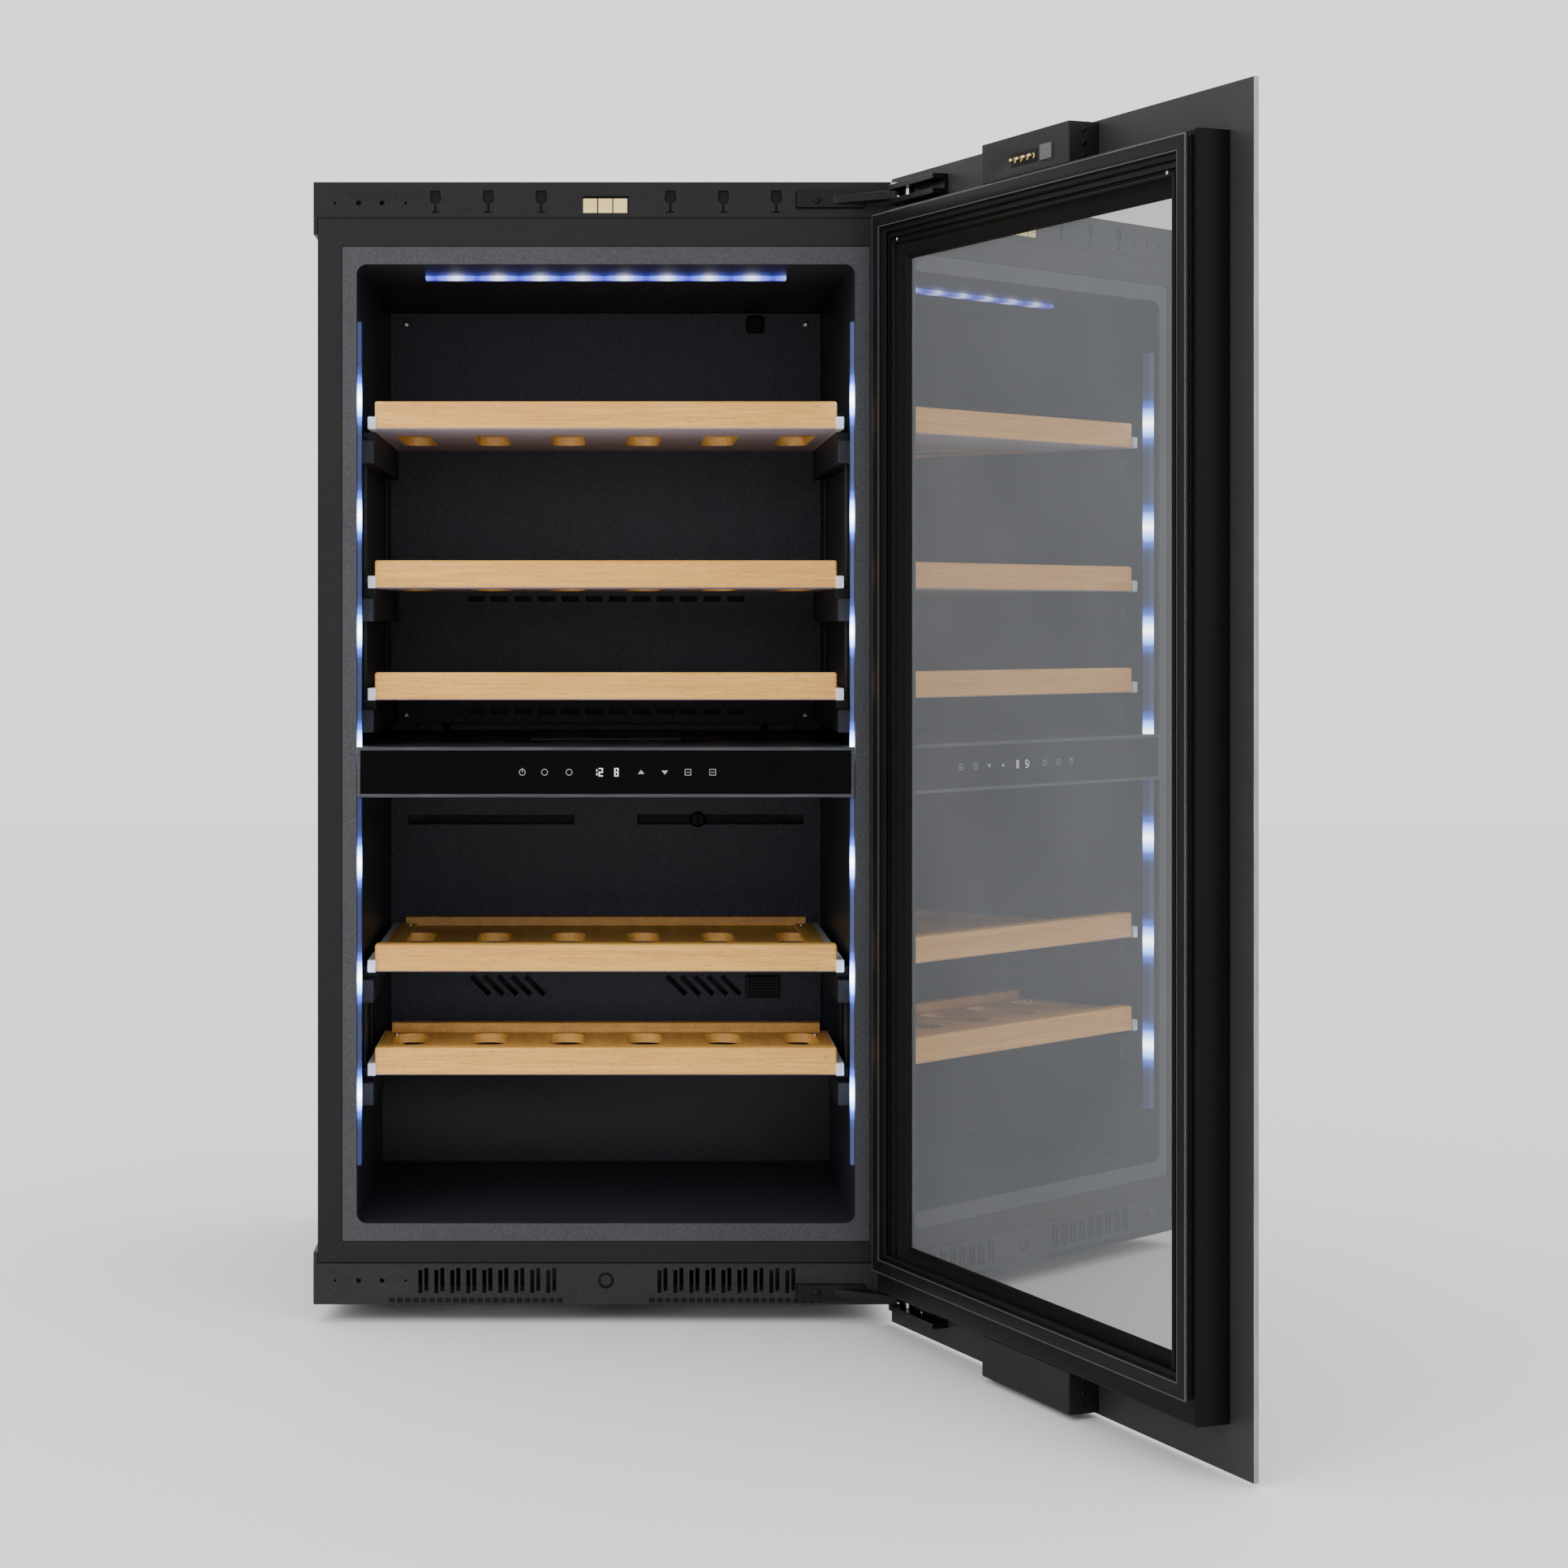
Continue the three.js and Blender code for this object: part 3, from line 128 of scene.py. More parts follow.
def grained(name, slot, dark, light, grain_mm, depth_mm, rough, cloud_mm=90, **values):
    """A moulded, cast or coated surface: a fine grain, and a slow cloudiness in colour and gloss."""
    material, tree, shader, place = new_material(name, slot, **values)
    cloud = add_node(tree, NOISE, {"Vector": place, "Scale": 1000 / cloud_mm, "Detail": 2.0})["Fac"]
    grain = add_node(tree, NOISE, {"Vector": place, "Scale": 1000 / grain_mm, "Detail": 2.0})["Fac"]
    weighed = {0: cloud, 1: CLOUD_SHARE, 2: grain}
    both = add_node(tree, "ShaderNodeMath", weighed, operation="MULTIPLY_ADD")[0]
    mean = {0: both, 1: 1 / (1 + CLOUD_SHARE)}
    mixed = add_node(tree, "ShaderNodeMath", mean, operation="MULTIPLY")[0]
    colour = add_node(tree, "ShaderNodeValToRGB", {"Fac": mixed}, [(0.36, dark), (0.64, light)])["Color"]
    gloss = {"Value": mixed, "From Min": 0.3, "From Max": 0.7}
    gloss |= {"To Min": rough - GLOSS_SPREAD, "To Max": rough + GLOSS_SPREAD}
    rough_map = add_node(tree, "ShaderNodeMapRange", gloss)["Result"]
    finish_with(tree, shader, colour, rough_map, grain, depth_mm)
    return material


def brushed(name, slot, dark, light, rough, stretch, **values):
    """Brushed, drawn or turned metal: fine scratches that run one way, drawn coarse enough to show."""
    material, tree, shader, place = new_material(name, slot, Metallic=1.0, **values)
    laid = add_node(tree, "ShaderNodeMapping", {"Vector": place, "Scale": stretch})["Vector"]
    lines = add_node(tree, NOISE, {"Vector": laid, "Scale": 1000 / SCRATCH_MM, "Detail": 3.0})["Fac"]
    colour = add_node(tree, "ShaderNodeValToRGB", {"Fac": lines}, [(0.3, dark), (0.7, light)])["Color"]
    gloss = {"Value": lines, "To Min": rough - 0.1, "To Max": rough + 0.1}
    finish_with(tree, shader, colour, add_node(tree, "ShaderNodeMapRange", gloss)["Result"], lines, 0.02)
    return material


def beech(name, along, tones=("#d19141", "#e3a74c", "#f1bd62"), fleck_tone="#a9713c"):
    """Lacquered beech, planed: figure about 16 mm wide, pores about 2 mm apart, and the short darker flecks
    that beech shows. The boards run along X and the trays' battens along Y."""
    material, tree, shader, place = new_material(name, "beech", Coat_Weight=0.12, Coat_Roughness=0.35)
    slow = (0.035, 1, 1) if along == "x" else (1, 0.035, 1)
    short = (0.14, 1, 1) if along == "x" else (1, 0.14, 1)
    laid = add_node(tree, "ShaderNodeMapping", {"Vector": place, "Scale": slow})["Vector"]
    broad = {"Vector": laid, "Scale": 62.0, "Detail": 4.0, "Roughness": 0.55}
    figure = add_node(tree, NOISE, broad)["Fac"]
    pores = add_node(tree, NOISE, {"Vector": laid, "Scale": 520.0, "Detail": 3.0})["Fac"]
    both = add_node(tree, "ShaderNodeMath", {0: figure, 1: pores}, operation="ADD")[0]
    half = add_node(tree, "ShaderNodeMath", {0: both, 1: 0.5}, operation="MULTIPLY")[0]
    stops = list(zip((0.34, 0.5, 0.66), tones))
    wood = add_node(tree, "ShaderNodeValToRGB", {"Fac": half}, stops)["Color"]
    spots = add_node(tree, "ShaderNodeMapping", {"Vector": place, "Scale": short})["Vector"]
    fleck = add_node(tree, NOISE, {"Vector": spots, "Scale": 760.0, "Detail": 1.0})["Fac"]
    mask = {"Value": fleck, "From Min": 0.6, "From Max": 0.72, "To Min": 0.0, "To Max": 0.55}
    dark = add_node(tree, "ShaderNodeMapRange", mask)["Result"]
    mixed = {0: dark, 6: wood, 7: srgb(fleck_tone)}
    colour = add_node(tree, "ShaderNodeMix", mixed, data_type="RGBA")[2]
    gloss = {"Value": half, "To Min": 0.38, "To Max": 0.6}
    finish_with(tree, shader, colour, add_node(tree, "ShaderNodeMapRange", gloss)["Result"], half, 0.06)
    return material


def galvanised():
    """Hot-dip galvanised steel sheet: crystals that meet edge to edge, each of its own grey and gloss."""
    material, tree, shader, place = new_material("galvanised_sheet", "zinc_sheet", Metallic=1.0)
    spangle = {"Vector": place, "Scale": 1000 / SPANGLE_MM}
    cells = add_node(tree, "ShaderNodeTexVoronoi", spangle)["Color"]
    tone = add_node(tree, "ShaderNodeSeparateColor", {"Color": cells})["Red"]
    greys = [(0.0, "#8d9193"), (1.0, "#9fa2a4")]
    colour = add_node(tree, "ShaderNodeValToRGB", {"Fac": tone}, greys)["Color"]
    gloss = {"Value": tone, "To Min": 0.32, "To Max": 0.5}
    finish_with(tree, shader, colour, add_node(tree, "ShaderNodeMapRange", gloss)["Result"])
    return material


def glazing(name, slot, dark, light, rough, wave_mm, **values):
    """Float glass: hard and glossy, with the faint haze of handling in slow patches."""
    material, tree, shader, place = new_material(name, slot, **values)
    haze = add_node(tree, NOISE, {"Vector": place, "Scale": 1000 / wave_mm, "Detail": 3.0})["Fac"]
    colour = add_node(tree, "ShaderNodeValToRGB", {"Fac": haze}, [(0.3, dark), (0.7, light)])["Color"]
    gloss = {"Value": haze, "From Min": 0.3, "From Max": 0.7, "To Min": rough * 0.5, "To Max": rough * 1.5}
    finish_with(tree, shader, colour, add_node(tree, "ShaderNodeMapRange", gloss)["Result"])
    return material


def lit(name, slot, tones, strength, body, axis="Z", spots_mm=None):
    """Something lit from behind: a frosted lens or translucent ink. With spots_mm (first, pitch, reach),
    each light emitter shows as a hot spot along the lens."""
    material, tree, shader, place = new_material(name, slot, Emission_Strength=strength, Roughness=0.4)
    glow = add_node(tree, NOISE, {"Vector": place, "Scale": 900.0, "Detail": 1.0})["Fac"]
    if spots_mm:
        first, pitch, reach = [size * MM for size in spots_mm]
        along = add_node(tree, "ShaderNodeSeparateXYZ", {"Vector": place})[axis]
        run = add_node(tree, "ShaderNodeMath", {0: along, 1: first}, operation="SUBTRACT")[0]
        away = add_node(tree, "ShaderNodeMath", {0: run, 1: pitch / 2}, operation="PINGPONG")[0]
        glow = add_node(tree, "ShaderNodeMath", {0: away, 1: reach}, operation="DIVIDE")[0]
    stops = [(i / (len(tones) - 1), tone) for i, tone in enumerate(tones)]
    colour = add_node(tree, "ShaderNodeValToRGB", {"Fac": glow}, stops)["Color"]
    tree.links.new(colour, shader.inputs["Emission Color"])
    shader.inputs["Base Color"].default_value = srgb(body)
    return material


def make_finishes():
    """Every finish of the cooler, by what it is for."""
    sideways, upright = (0.02, 1, 1), (1, 1, 0.02)
    # Satin black plastics and coatings scatter their gloss, so their specular level is low
    low = {"Specular_IOR_Level": 0.16}
    return {
        # Powder-coated steel: a fine orange-peel, satin black
        "case": grained("powder_coated_steel", "case_paint", "#141415", "#1b1b1c", 1.6, 0.05, 0.5, **low),
        # Coil-coated steel: flatter and smoother than powder
        "flange": grained("coil_coated_steel", "case_paint", "#171717", "#1d1d1c", 2.0, 0.02, 0.46, **low),
        # ABS from a spark-eroded mould: even fine texture, low sheen
        "strip": grained("spark_eroded_abs", "trim_plastic", "#181818", "#1e1e1e", 1.8, 0.05, 0.5, **low),
        # The foot strip's ABS is the upper strip's, painted a shade paler: painted light, as the low strip
        # takes less light; the same texture
        "foot_strip_painted_light": grained("moulded_abs", "trim_plastic", "#222224", "#2a2a2c", 1.8, 0.05, 0.5, **low),
        # Polystyrene sheet, vacuum formed: satin and slightly soft in its reflections
        "liner": grained(
            "formed_black_polystyrene", "liner_plastic", "#24252a", "#2e2f36", 2.2, 0.02, 0.36, **low
        ),
        # The same sheet in mid grey, where the liner turns out over the flange
        "lip": grained(
            "formed_grey_polystyrene", "liner_plastic", "#38393d", "#444549", 2.0, 0.02, 0.38, **low
        ),
        # Polystyrene embossed with a coarse grain: the duct covers read paler and duller than the liner
        "duct": grained(
            "embossed_polystyrene", "liner_plastic", "#3b3c46", "#4a4b56", 3.0, 0.12, 0.42, **low
        ),
        # Glass-filled nylon: matt, with a dry grain
        "rail": grained(
            "glass_filled_nylon", "liner_plastic", "#26272b", "#323338", 2.0, 0.05, 0.45, **low
        ),
        # Unfilled black nylon, moulded: smooth satin blocks and knobs
        "block": grained("moulded_black_nylon", "trim_plastic", "#121212", "#191919", 2.0, 0.05, 0.48, **low),
        # Matt black nylon for the dark inserts, plugs and rings; in the slots, seams, seats and glass-shaped
        # cut-outs it is painted shade
        "dark_insert": grained(
            "matt_black_nylon", "trim_plastic", "#050505", "#080808", 2.0, 0.03, 0.6, **low
        ),
        # Grey nylon: the plain plate beside the contact pins
        "grey_insert": grained(
            "moulded_grey_nylon", "gold_plate", "#4d4d4e", "#5b5b5c", 2.0, 0.03, 0.5, **low
        ),
        # PVC extrusion: smooth, satin, mitred and welded at its corners
        "frame": grained(
            "extruded_black_pvc", "frame_plastic", "#0c0c0c", "#101010", 2.4, 0.02, 0.42,
            Specular_IOR_Level=0.07,
        ),
        # Soft PVC: waxy and grey-black
        "gasket": grained(
            "soft_pvc_gasket", "gasket_rubber", "#0d0d0e", "#141415", 1.8, 0.03, 0.42,
            Specular_IOR_Level=0.08,
        ),
        # Painted highlights: thin paler lines on the gasket's folds, where their rounded faces catch the
        # light
        "gasket_highlight": grained("polished_pvc_bead", "gasket_rubber", "#3c3c3e", "#484849", 1.8, 0.01, 0.35, **low),
        # Electrocoated steel: thin hard black film over the metal
        "hinge": grained(
            "electrocoated_steel", "hinge_steel", "#0b0b0c", "#131313", 1.5, 0.02, 0.34, **low
        ),
        # Turned stainless steel: bright screws and pins
        "steel": brushed("turned_stainless_steel", "steel_pin", "#b4b5b6", "#dadbdb", 0.28, upright),
        "zinc": galvanised(),
        # Anodised aluminium, brushed along the bar: a thin dark satin rim
        "bar_trim": brushed("satin_aluminium_trim", "bar_trim", "#3a3b3e", "#525357", 0.42, sideways),
        # The same aluminium in its own colour round the front glass: a fine pale line
        "edge": brushed("satin_aluminium_edging", "door_glass", "#7e7f80", "#9c9d9e", 0.4, upright),
        # Back-painted glass: deep black under a hard gloss
        "bar_glass": glazing(
            "back_painted_glass", "bar_glass", "#030303", "#050505", 0.1, 60, Specular_IOR_Level=0.04
        ),
        # Ceramic frit printed on the inside of the front glass: black, with a low satin gloss
        "frit": grained(
            "ceramic_frit_on_glass", "door_glass", "#2b2b2b", "#323232", 1.4, 0.01, 0.45,
            Specular_IOR_Level=0.1,
        ),
        # Polished float glass, painted behind: a black mirror
        "front_glass": glazing("polished_black_glass", "door_glass", "#060606", "#0a0a0a", 0.06, 220),
        # Smoke-tinted float glass over the sealed unit: as glossy, and a little paler
        "window": glazing("smoked_float_glass", "door_glass", "#121314", "#17181a", 0.04, 260),
        # Solar-control coating: the pane mirrors part of the light and reads as a mid grey.
        # The mirror is the coat; the grey body under it is painted light, the bright room seen through the
        # tinted pane
        "mirror": glazing(
            "solar_control_glass", "door_glass", "#65676a", "#6d6f72", 0.4, 160,
            Specular_IOR_Level=0.0, Coat_Weight=1.0, Coat_IOR=4.2, Coat_Roughness=0.0,
        ),
        # Uncoloured nylon: cool white slides with a soft shine
        "white_nylon": grained("natural_white_nylon", "beech", "#d4d6d8", "#dfe1e2", 1.4, 0.03, 0.4),
        # Roll-bonded aluminium: mill-bright, with the roll's fine lines
        "aluminium": brushed(
            "roll_bonded_aluminium", "aluminium_sheet", "#b4b6b8", "#cdcfd1", 0.4, sideways
        ),
        # Evaporator plates, aluminium given a smooth near-black film: painted shade, for the dark inside the
        # ducts where they sit
        "evaporator": grained(
            "epoxy_coated_aluminium", "aluminium_sheet", "#121315", "#1a1b1e", 2.4, 0.02, 0.5, **low
        ),
        # Blown polyurethane: straw-coloured, dull, with an open skin
        "foam": grained("rigid_polyurethane_foam", "foam", "#cdbb86", "#e0d09d", 2.6, 0.4, 0.9),
        # Green solder mask over glass-epoxy board: an even weave under a satin film
        "circuit": grained("solder_mask_on_glass_epoxy", "circuit", "#12412a", "#1b5537", 1.4, 0.05, 0.4),
        # Enamelled steel can: thick glossy black with a slow ripple
        "compressor": grained(
            "enamelled_steel_can", "compressor_paint", "#0b0b0c", "#131314", 6.0, 0.06, 0.25
        ),
        # Hard gold plate on brass: warm, pale and polished
        "gold": brushed("hard_gold_plate", "gold_plate", "#e0c078", "#f6e2ac", 0.28, sideways),
        # Steamed beech under clear satin lacquer: warm, with a slight depth of coat
        "beech_x": beech("lacquered_beech_lengthwise", "x"),
        "beech_y": beech("lacquered_beech_crosswise", "y"),
        # Undersides of the same beech: their lilac-grey tone is painted light, the lamps' cool blue light on
        # the wood; the grain shows faintly
        "under": beech("sealed_beech_underside", "x", ("#aaa2b4", "#b8b0c1", "#c3bccd"), "#98909f"),
        # Frosted polycarbonate over a row of light emitters, each a hot spot that fades to blue
        "lamp": lit(
            "frosted_lamp_lens", "lamp_lens", ["#f4f8ff", "#7fa8f0", "#1d3a86", "#0a1434", "#05091c"],
            11.0, "#39425a", spots_mm=(216.8, 110.27, 34),
        ),
        # Blue polycarbonate: the ceiling's emitters stay coloured, and sit closer
        "ceiling_lamp": lit(
            "blue_lamp_lens", "ceiling_lens", ["#dfe4ff", "#5f6fe8", "#1c2aa8"],
            2.6, "#5a60a8", "X", (-105.7, 41.5, 20),
        ),
        # Translucent ink, lit from behind the glass: dim symbols and brighter digits
        "ink": lit("lit_symbol_ink", "bar_glass", ["#9fa4a8", "#c4c9cc"], 0.5, "#808488"),
        "digit": lit("lit_digit_ink", "bar_glass", ["#dfe6ea", "#f4f8fa"], 1.2, "#b0b4b8"),
        # Studio board, rolled with matt emulsion: near white and quite dull
        "floor": grained("painted_studio_board", "case_paint", "#f4f4f3", "#f8f8f7", 4, 0.04, 0.8, 600),
    }


finish = make_finishes()

# ---------------------------------------------------------------- mesh making

CREASE = 28  # degrees past which an extrusion's folds stay crisp
BEVEL_ABOVE = 32  # degrees past which an edge is rounded
MERGE_MM = 0.01  # how close the corners of a solid's triangles lie when they are one
TURNED_STEPS = 32  # flats round a turned piece of its own
SCREW_STEPS = 16  # flats round a screw's head


def to_mesh(made, place=None):
    """A plain mesh from a bmesh, moved to its place."""
    if place is not None:
        made.transform(place)
    mesh = bpy.data.meshes.new("made")
    made.to_mesh(mesh)
    made.free()
    return mesh


def box_mesh(low, high, place=None):
    """A box between two corners, given in millimetres."""
    made = bmesh.new()
    bmesh.ops.create_cube(made, size=1.0)
    for vertex in made.verts:
        share = vertex.co + Vector((0.5, 0.5, 0.5))
        vertex.co = [MM * (a + s * (b - a)) for a, b, s in zip(low, high, share)]
    return to_mesh(made, place)


def new_piece(name, mesh, *materials):
    """An object of this mesh and these materials, not yet on any body."""
    mesh.name = name
    for material in materials:
        mesh.materials.append(material)
    piece = bpy.data.objects.new(name, mesh)
    bpy.context.collection.objects.link(piece)
    return piece


def shade(mesh, smooth_angle=40):
    """Shades curves smooth and keeps corners crisp."""
    for face in mesh.polygons:
        face.use_smooth = True
    mesh.set_sharp_from_angle(angle=math.radians(smooth_angle))


def settle(piece):
    """Makes a piece's modifiers part of its mesh."""
    shown = piece.evaluated_get(bpy.context.evaluated_depsgraph_get())
    mesh = bpy.data.meshes.new_from_object(shown)
    mesh.name = piece.name
    piece.modifiers.clear()
    piece.data = mesh
    return piece


def soften(piece, width_mm, segments=2):
    """Rounded edges that catch the light, beside faces that stay flat."""
    shade(piece.data)
    rounded = piece.modifiers.new("rounded_edges", "BEVEL")
    rounded.harden_normals = True
    rounded.width = width_mm * MM
    rounded.segments = segments
    rounded.limit_method = "ANGLE"
    rounded.angle_limit = math.radians(BEVEL_ABOVE)
    return settle(piece)


def attach(piece, body, *replaced):
    """Puts a finished piece on its body and the solids that it stands for."""
    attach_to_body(piece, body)
    if replaced:
        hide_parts(*replaced)
    return piece


def rounded_box(name, low, high, material, radius_mm, body, place=None):
    """A box with rounded edges, between two corners."""
    piece = new_piece(name, box_mesh(low, high, place), material)
    return attach(soften(piece, radius_mm, 3), body)


def refined(node, width_mm, materials, choose=None, cuts=()):
    """Stands in for a CAD node: the same shape with softened edges. The cuts (axis, place in mm) part its
    faces where one finish ends, and choose gives each face the number of its finish."""
    made = bmesh.new()
    made.from_mesh(frame["nodes"][node].data)
    bmesh.ops.remove_doubles(made, verts=made.verts, dist=MERGE_MM * MM)
    for axis, place in cuts:
        whole = made.verts[:] + made.edges[:] + made.faces[:]
        normal = Vector([float(i == axis) for i in range(3)])
        bmesh.ops.bisect_plane(made, geom=whole, plane_co=normal * place * MM, plane_no=normal)
    if choose:
        for face in made.faces:
            face.material_index = choose(face)
    bmesh.ops.dissolve_limit(
        made, angle_limit=math.radians(0.5), verts=made.verts, edges=made.edges, delimit={"MATERIAL"}
    )
    piece = new_piece(node + "_finished", to_mesh(made), *materials)
    return attach(soften(piece, width_mm), body_of[node], node)


def turned(name, outline, centre, axis, material, body, place=None):
    """A turned piece of its own, smooth all round."""
    mesh = turned_mesh(outline, centre, axis, place, TURNED_STEPS)
    shade(mesh)
    return attach(new_piece(name, mesh, material), body)


def turned_mesh(outline, centre, axis, place=None, steps=24):
    """An outline of (radius, distance along the axis) spun round the axis, in millimetres."""
    made = bmesh.new()
    rings = []
    for radius, along in outline:
        turns = [2 * math.pi * i / steps for i in range(steps)] if radius > 0 else [0]
        rings.append([made.verts.new((radius * math.cos(a), radius * math.sin(a), along)) for a in turns])
    for lower, upper in zip(rings, rings[1:]):
        for i in range(steps):
            pairs = (lower, i), (lower, i + 1), (upper, i + 1), (upper, i)
            # A ring on the axis is one point, so its corners fall together
            distinct = list(dict.fromkeys(ring[turn % len(ring)] for ring, turn in pairs))
            if len(distinct) > 2:
                made.faces.new(distinct)
    bmesh.ops.recalc_face_normals(made, faces=made.faces)
    turn = Vector(UP).rotation_difference(Vector(axis)).to_matrix().to_4x4()
    made.transform(Matrix.Scale(MM, 4) @ Matrix.Translation(Vector(centre)) @ turn)
    return to_mesh(made, place)


def mitred_ring(name, profile, bottom, material, *replaced):
    """A closed profile swept round the door with mitred corners. Each profile point is (inset from the outer
    edge, Y behind the front plane), in millimetres, drawn with the door closed."""
    made = bmesh.new()
    rings = []
    for inset, y in profile:
        a, low, high = DOOR_HALF - inset, bottom + inset, DOOR_HIGH - inset
        corners = [(-a, low), (a, low), (a, high), (-a, high)]
        rings.append([made.verts.new((x * MM, y * MM + front, z * MM)) for x, z in corners])
    for ring, following in zip(rings, rings[1:] + rings[:1]):
        for i in range(4):
            j = (i + 1) % 4
            made.faces.new((ring[i], ring[j], following[j], following[i]))
    bmesh.ops.recalc_face_normals(made, faces=made.faces)
    piece = new_piece(name, to_mesh(made, OPEN_DOOR), material)
    shade(piece.data, CREASE)
    return attach(piece, "door", *replaced)


INK_PLANE = 0.28  # the ink's middle, behind the front plane
INK_THICKNESS = 0.12
CIRCLE_STEPS = 28


def inked(name, loops, material):
    """A thin flat shape on the control bar's glass, from its outlines in X and Z, in millimetres."""
    curve = bpy.data.curves.new(name, "CURVE")
    curve.dimensions = "2D"
    curve.fill_mode = "BOTH"
    curve.extrude = INK_THICKNESS / 2
    for loop in loops:
        spline = curve.splines.new("POLY")
        spline.points.add(len(loop) - 1)
        for point, (a, b) in zip(spline.points, loop):
            point.co = (a, b, 0, 1)
        spline.use_cyclic_u = True
    drawn = bpy.data.objects.new(name, curve)
    bpy.context.collection.objects.link(drawn)
    mesh = bpy.data.meshes.new_from_object(drawn.evaluated_get(bpy.context.evaluated_depsgraph_get()))
    bpy.data.objects.remove(drawn)
    made = bmesh.new()
    made.from_mesh(mesh)
    bmesh.ops.remove_doubles(made, verts=made.verts, dist=0.001)
    # Stands the drawing up, facing the room
    upright = Matrix(((MM, 0, 0, 0), (0, 0, -MM, INK_PLANE * MM + front), (0, MM, 0, 0), (0, 0, 0, 1)))
    made.transform(upright)
    bmesh.ops.recalc_face_normals(made, faces=made.faces)
    return attach(new_piece(name, to_mesh(made), material), "cabinet")


def circle(x, z, radius):
    """A round outline."""
    turns = [2 * math.pi * i / CIRCLE_STEPS for i in range(CIRCLE_STEPS)]
    return [(x + radius * math.cos(t), z + radius * math.sin(t)) for t in turns]


def rectangle(x0, x1, z0, z1):
    """A square-cornered outline."""
    return [(x0, z0), (x1, z0), (x1, z1), (x0, z1)]


# ---------------------------------------------------------------- rows made by Geometry Nodes


def row_tree():
    """Copies of one piece in rows: a line of Count steps, each carrying a line of Rows steps."""
    tree = bpy.data.node_groups.new("rows_of_pieces", "GeometryNodeTree")
    face = tree.interface
    face.new_socket("Geometry", in_out="OUTPUT", socket_type="NodeSocketGeometry")
    sockets = {"Count": "Int", "Start": "Vector", "Step": "Vector", "Rows": "Int", "Row Step": "Vector"}
    sockets |= {"Piece": "Object", "Finish": "Material"}
    for name, kind in sockets.items():
        face.new_socket(name, in_out="INPUT", socket_type="NodeSocket" + kind)
    given = add_node(tree, "NodeGroupInput")
    line = {"Count": given["Count"], "Start Location": given["Start"], "Offset": given["Step"]}
    along = add_node(tree, "GeometryNodeMeshLine", line, mode="OFFSET")["Mesh"]
    stack = {"Count": given["Rows"], "Offset": given["Row Step"]}
    across = add_node(tree, "GeometryNodeMeshLine", stack, mode="OFFSET")["Mesh"]
    lines = {"Points": along, "Instance": across}
    grid = add_node(tree, "GeometryNodeInstanceOnPoints", lines)["Instances"]
    points = add_node(tree, "GeometryNodeRealizeInstances", {"Geometry": grid})["Geometry"]
    piece = add_node(tree, "GeometryNodeObjectInfo", {"Object": given["Piece"]})["Geometry"]
    pieces = {"Points": points, "Instance": piece}
    copies = add_node(tree, "GeometryNodeInstanceOnPoints", pieces)["Instances"]
    real = add_node(tree, "GeometryNodeRealizeInstances", {"Geometry": copies})["Geometry"]
    done = {"Geometry": real, "Material": given["Finish"]}
    result = add_node(tree, "GeometryNodeSetMaterial", done)["Geometry"]
    add_node(tree, "NodeGroupOutput", {"Geometry": result})
    return tree


ROWS = row_tree()


def rows(name, mesh, count, step, material, body, row_count=1, row_step=(0, 0, 0), place=None, replaced=()):
    """Rows of one small piece as a plain mesh; the steps are in millimetres."""
    pattern = new_piece(name + "_pattern", mesh)
    holder = new_piece(name, bpy.data.meshes.new(name))
    modifier = holder.modifiers.new("rows", "NODES")
    modifier.node_group = ROWS
    values = {"Count": count, "Start": (0.0, 0.0, 0.0), "Step": [s * MM for s in step], "Rows": row_count}
    values |= {"Row Step": [s * MM for s in row_step], "Piece": pattern, "Finish": material}
    for item in ROWS.interface.items_tree:
        if item.in_out == "INPUT":
            modifier[item.identifier] = values[item.name]
    settle(holder)
    shade(holder.data)
    bpy.data.objects.remove(pattern)
    # The pattern has no finish of its own, and can leave an empty place before the row's
    if holder.data.materials[0] is None:
        holder.data.materials.pop(index=0)
    if place is not None:
        holder.data.transform(place)
    return attach(holder, body, *replaced)


def screw_mesh(centre, radius, axis=FORWARD):
    """A pan-head screw with a sunk drive, its foot at the centre given in millimetres."""
    profile = [(1.0, -0.2), (1.0, 0.2), (0.86, 0.45), (0.55, 0.58), (0.38, 0.58), (0.3, 0.2), (0, 0.14)]
    outline = [(0, -0.2 * radius)] + [(radius * r, radius * h) for r, h in profile]
    return turned_mesh(outline, centre, axis, steps=SCREW_STEPS)


# ---------------------------------------------------------------- camera, floor and light

CAMERA_AWAY, CAMERA_HEIGHT = 2.914, 0.6656  # in metres
FLOOR_HALF, FLOOR_THICK = 7000, 20


def make_camera():
    """Level and square to the front, shifted to take in the open door."""
    data = bpy.data.cameras.new("camera")
    data.lens = 70.4
    data.sensor_width = 36
    data.shift_x = 0.1136
    data.shift_y = -0.1025
    camera = bpy.data.objects.new("camera", data)
    camera.location = (0, front - CAMERA_AWAY, CAMERA_HEIGHT)
    camera.rotation_euler = (math.radians(90), 0, 0)
    bpy.context.collection.objects.link(camera)
    bpy.context.scene.camera = camera


def make_light(name, place, aim, size, power):
    """A soft rectangular light, turned to face what it is aimed at."""
    data = bpy.data.lights.new(name, "AREA")
    data.shape = "RECTANGLE"
    data.size, data.size_y = size
    data.energy = power
    light = bpy.data.objects.new(name, data)
    light.location = place
    light.rotation_euler = (Vector(aim) - Vector(place)).to_track_quat("-Z", "Y").to_euler()
    bpy.context.collection.objects.link(light)


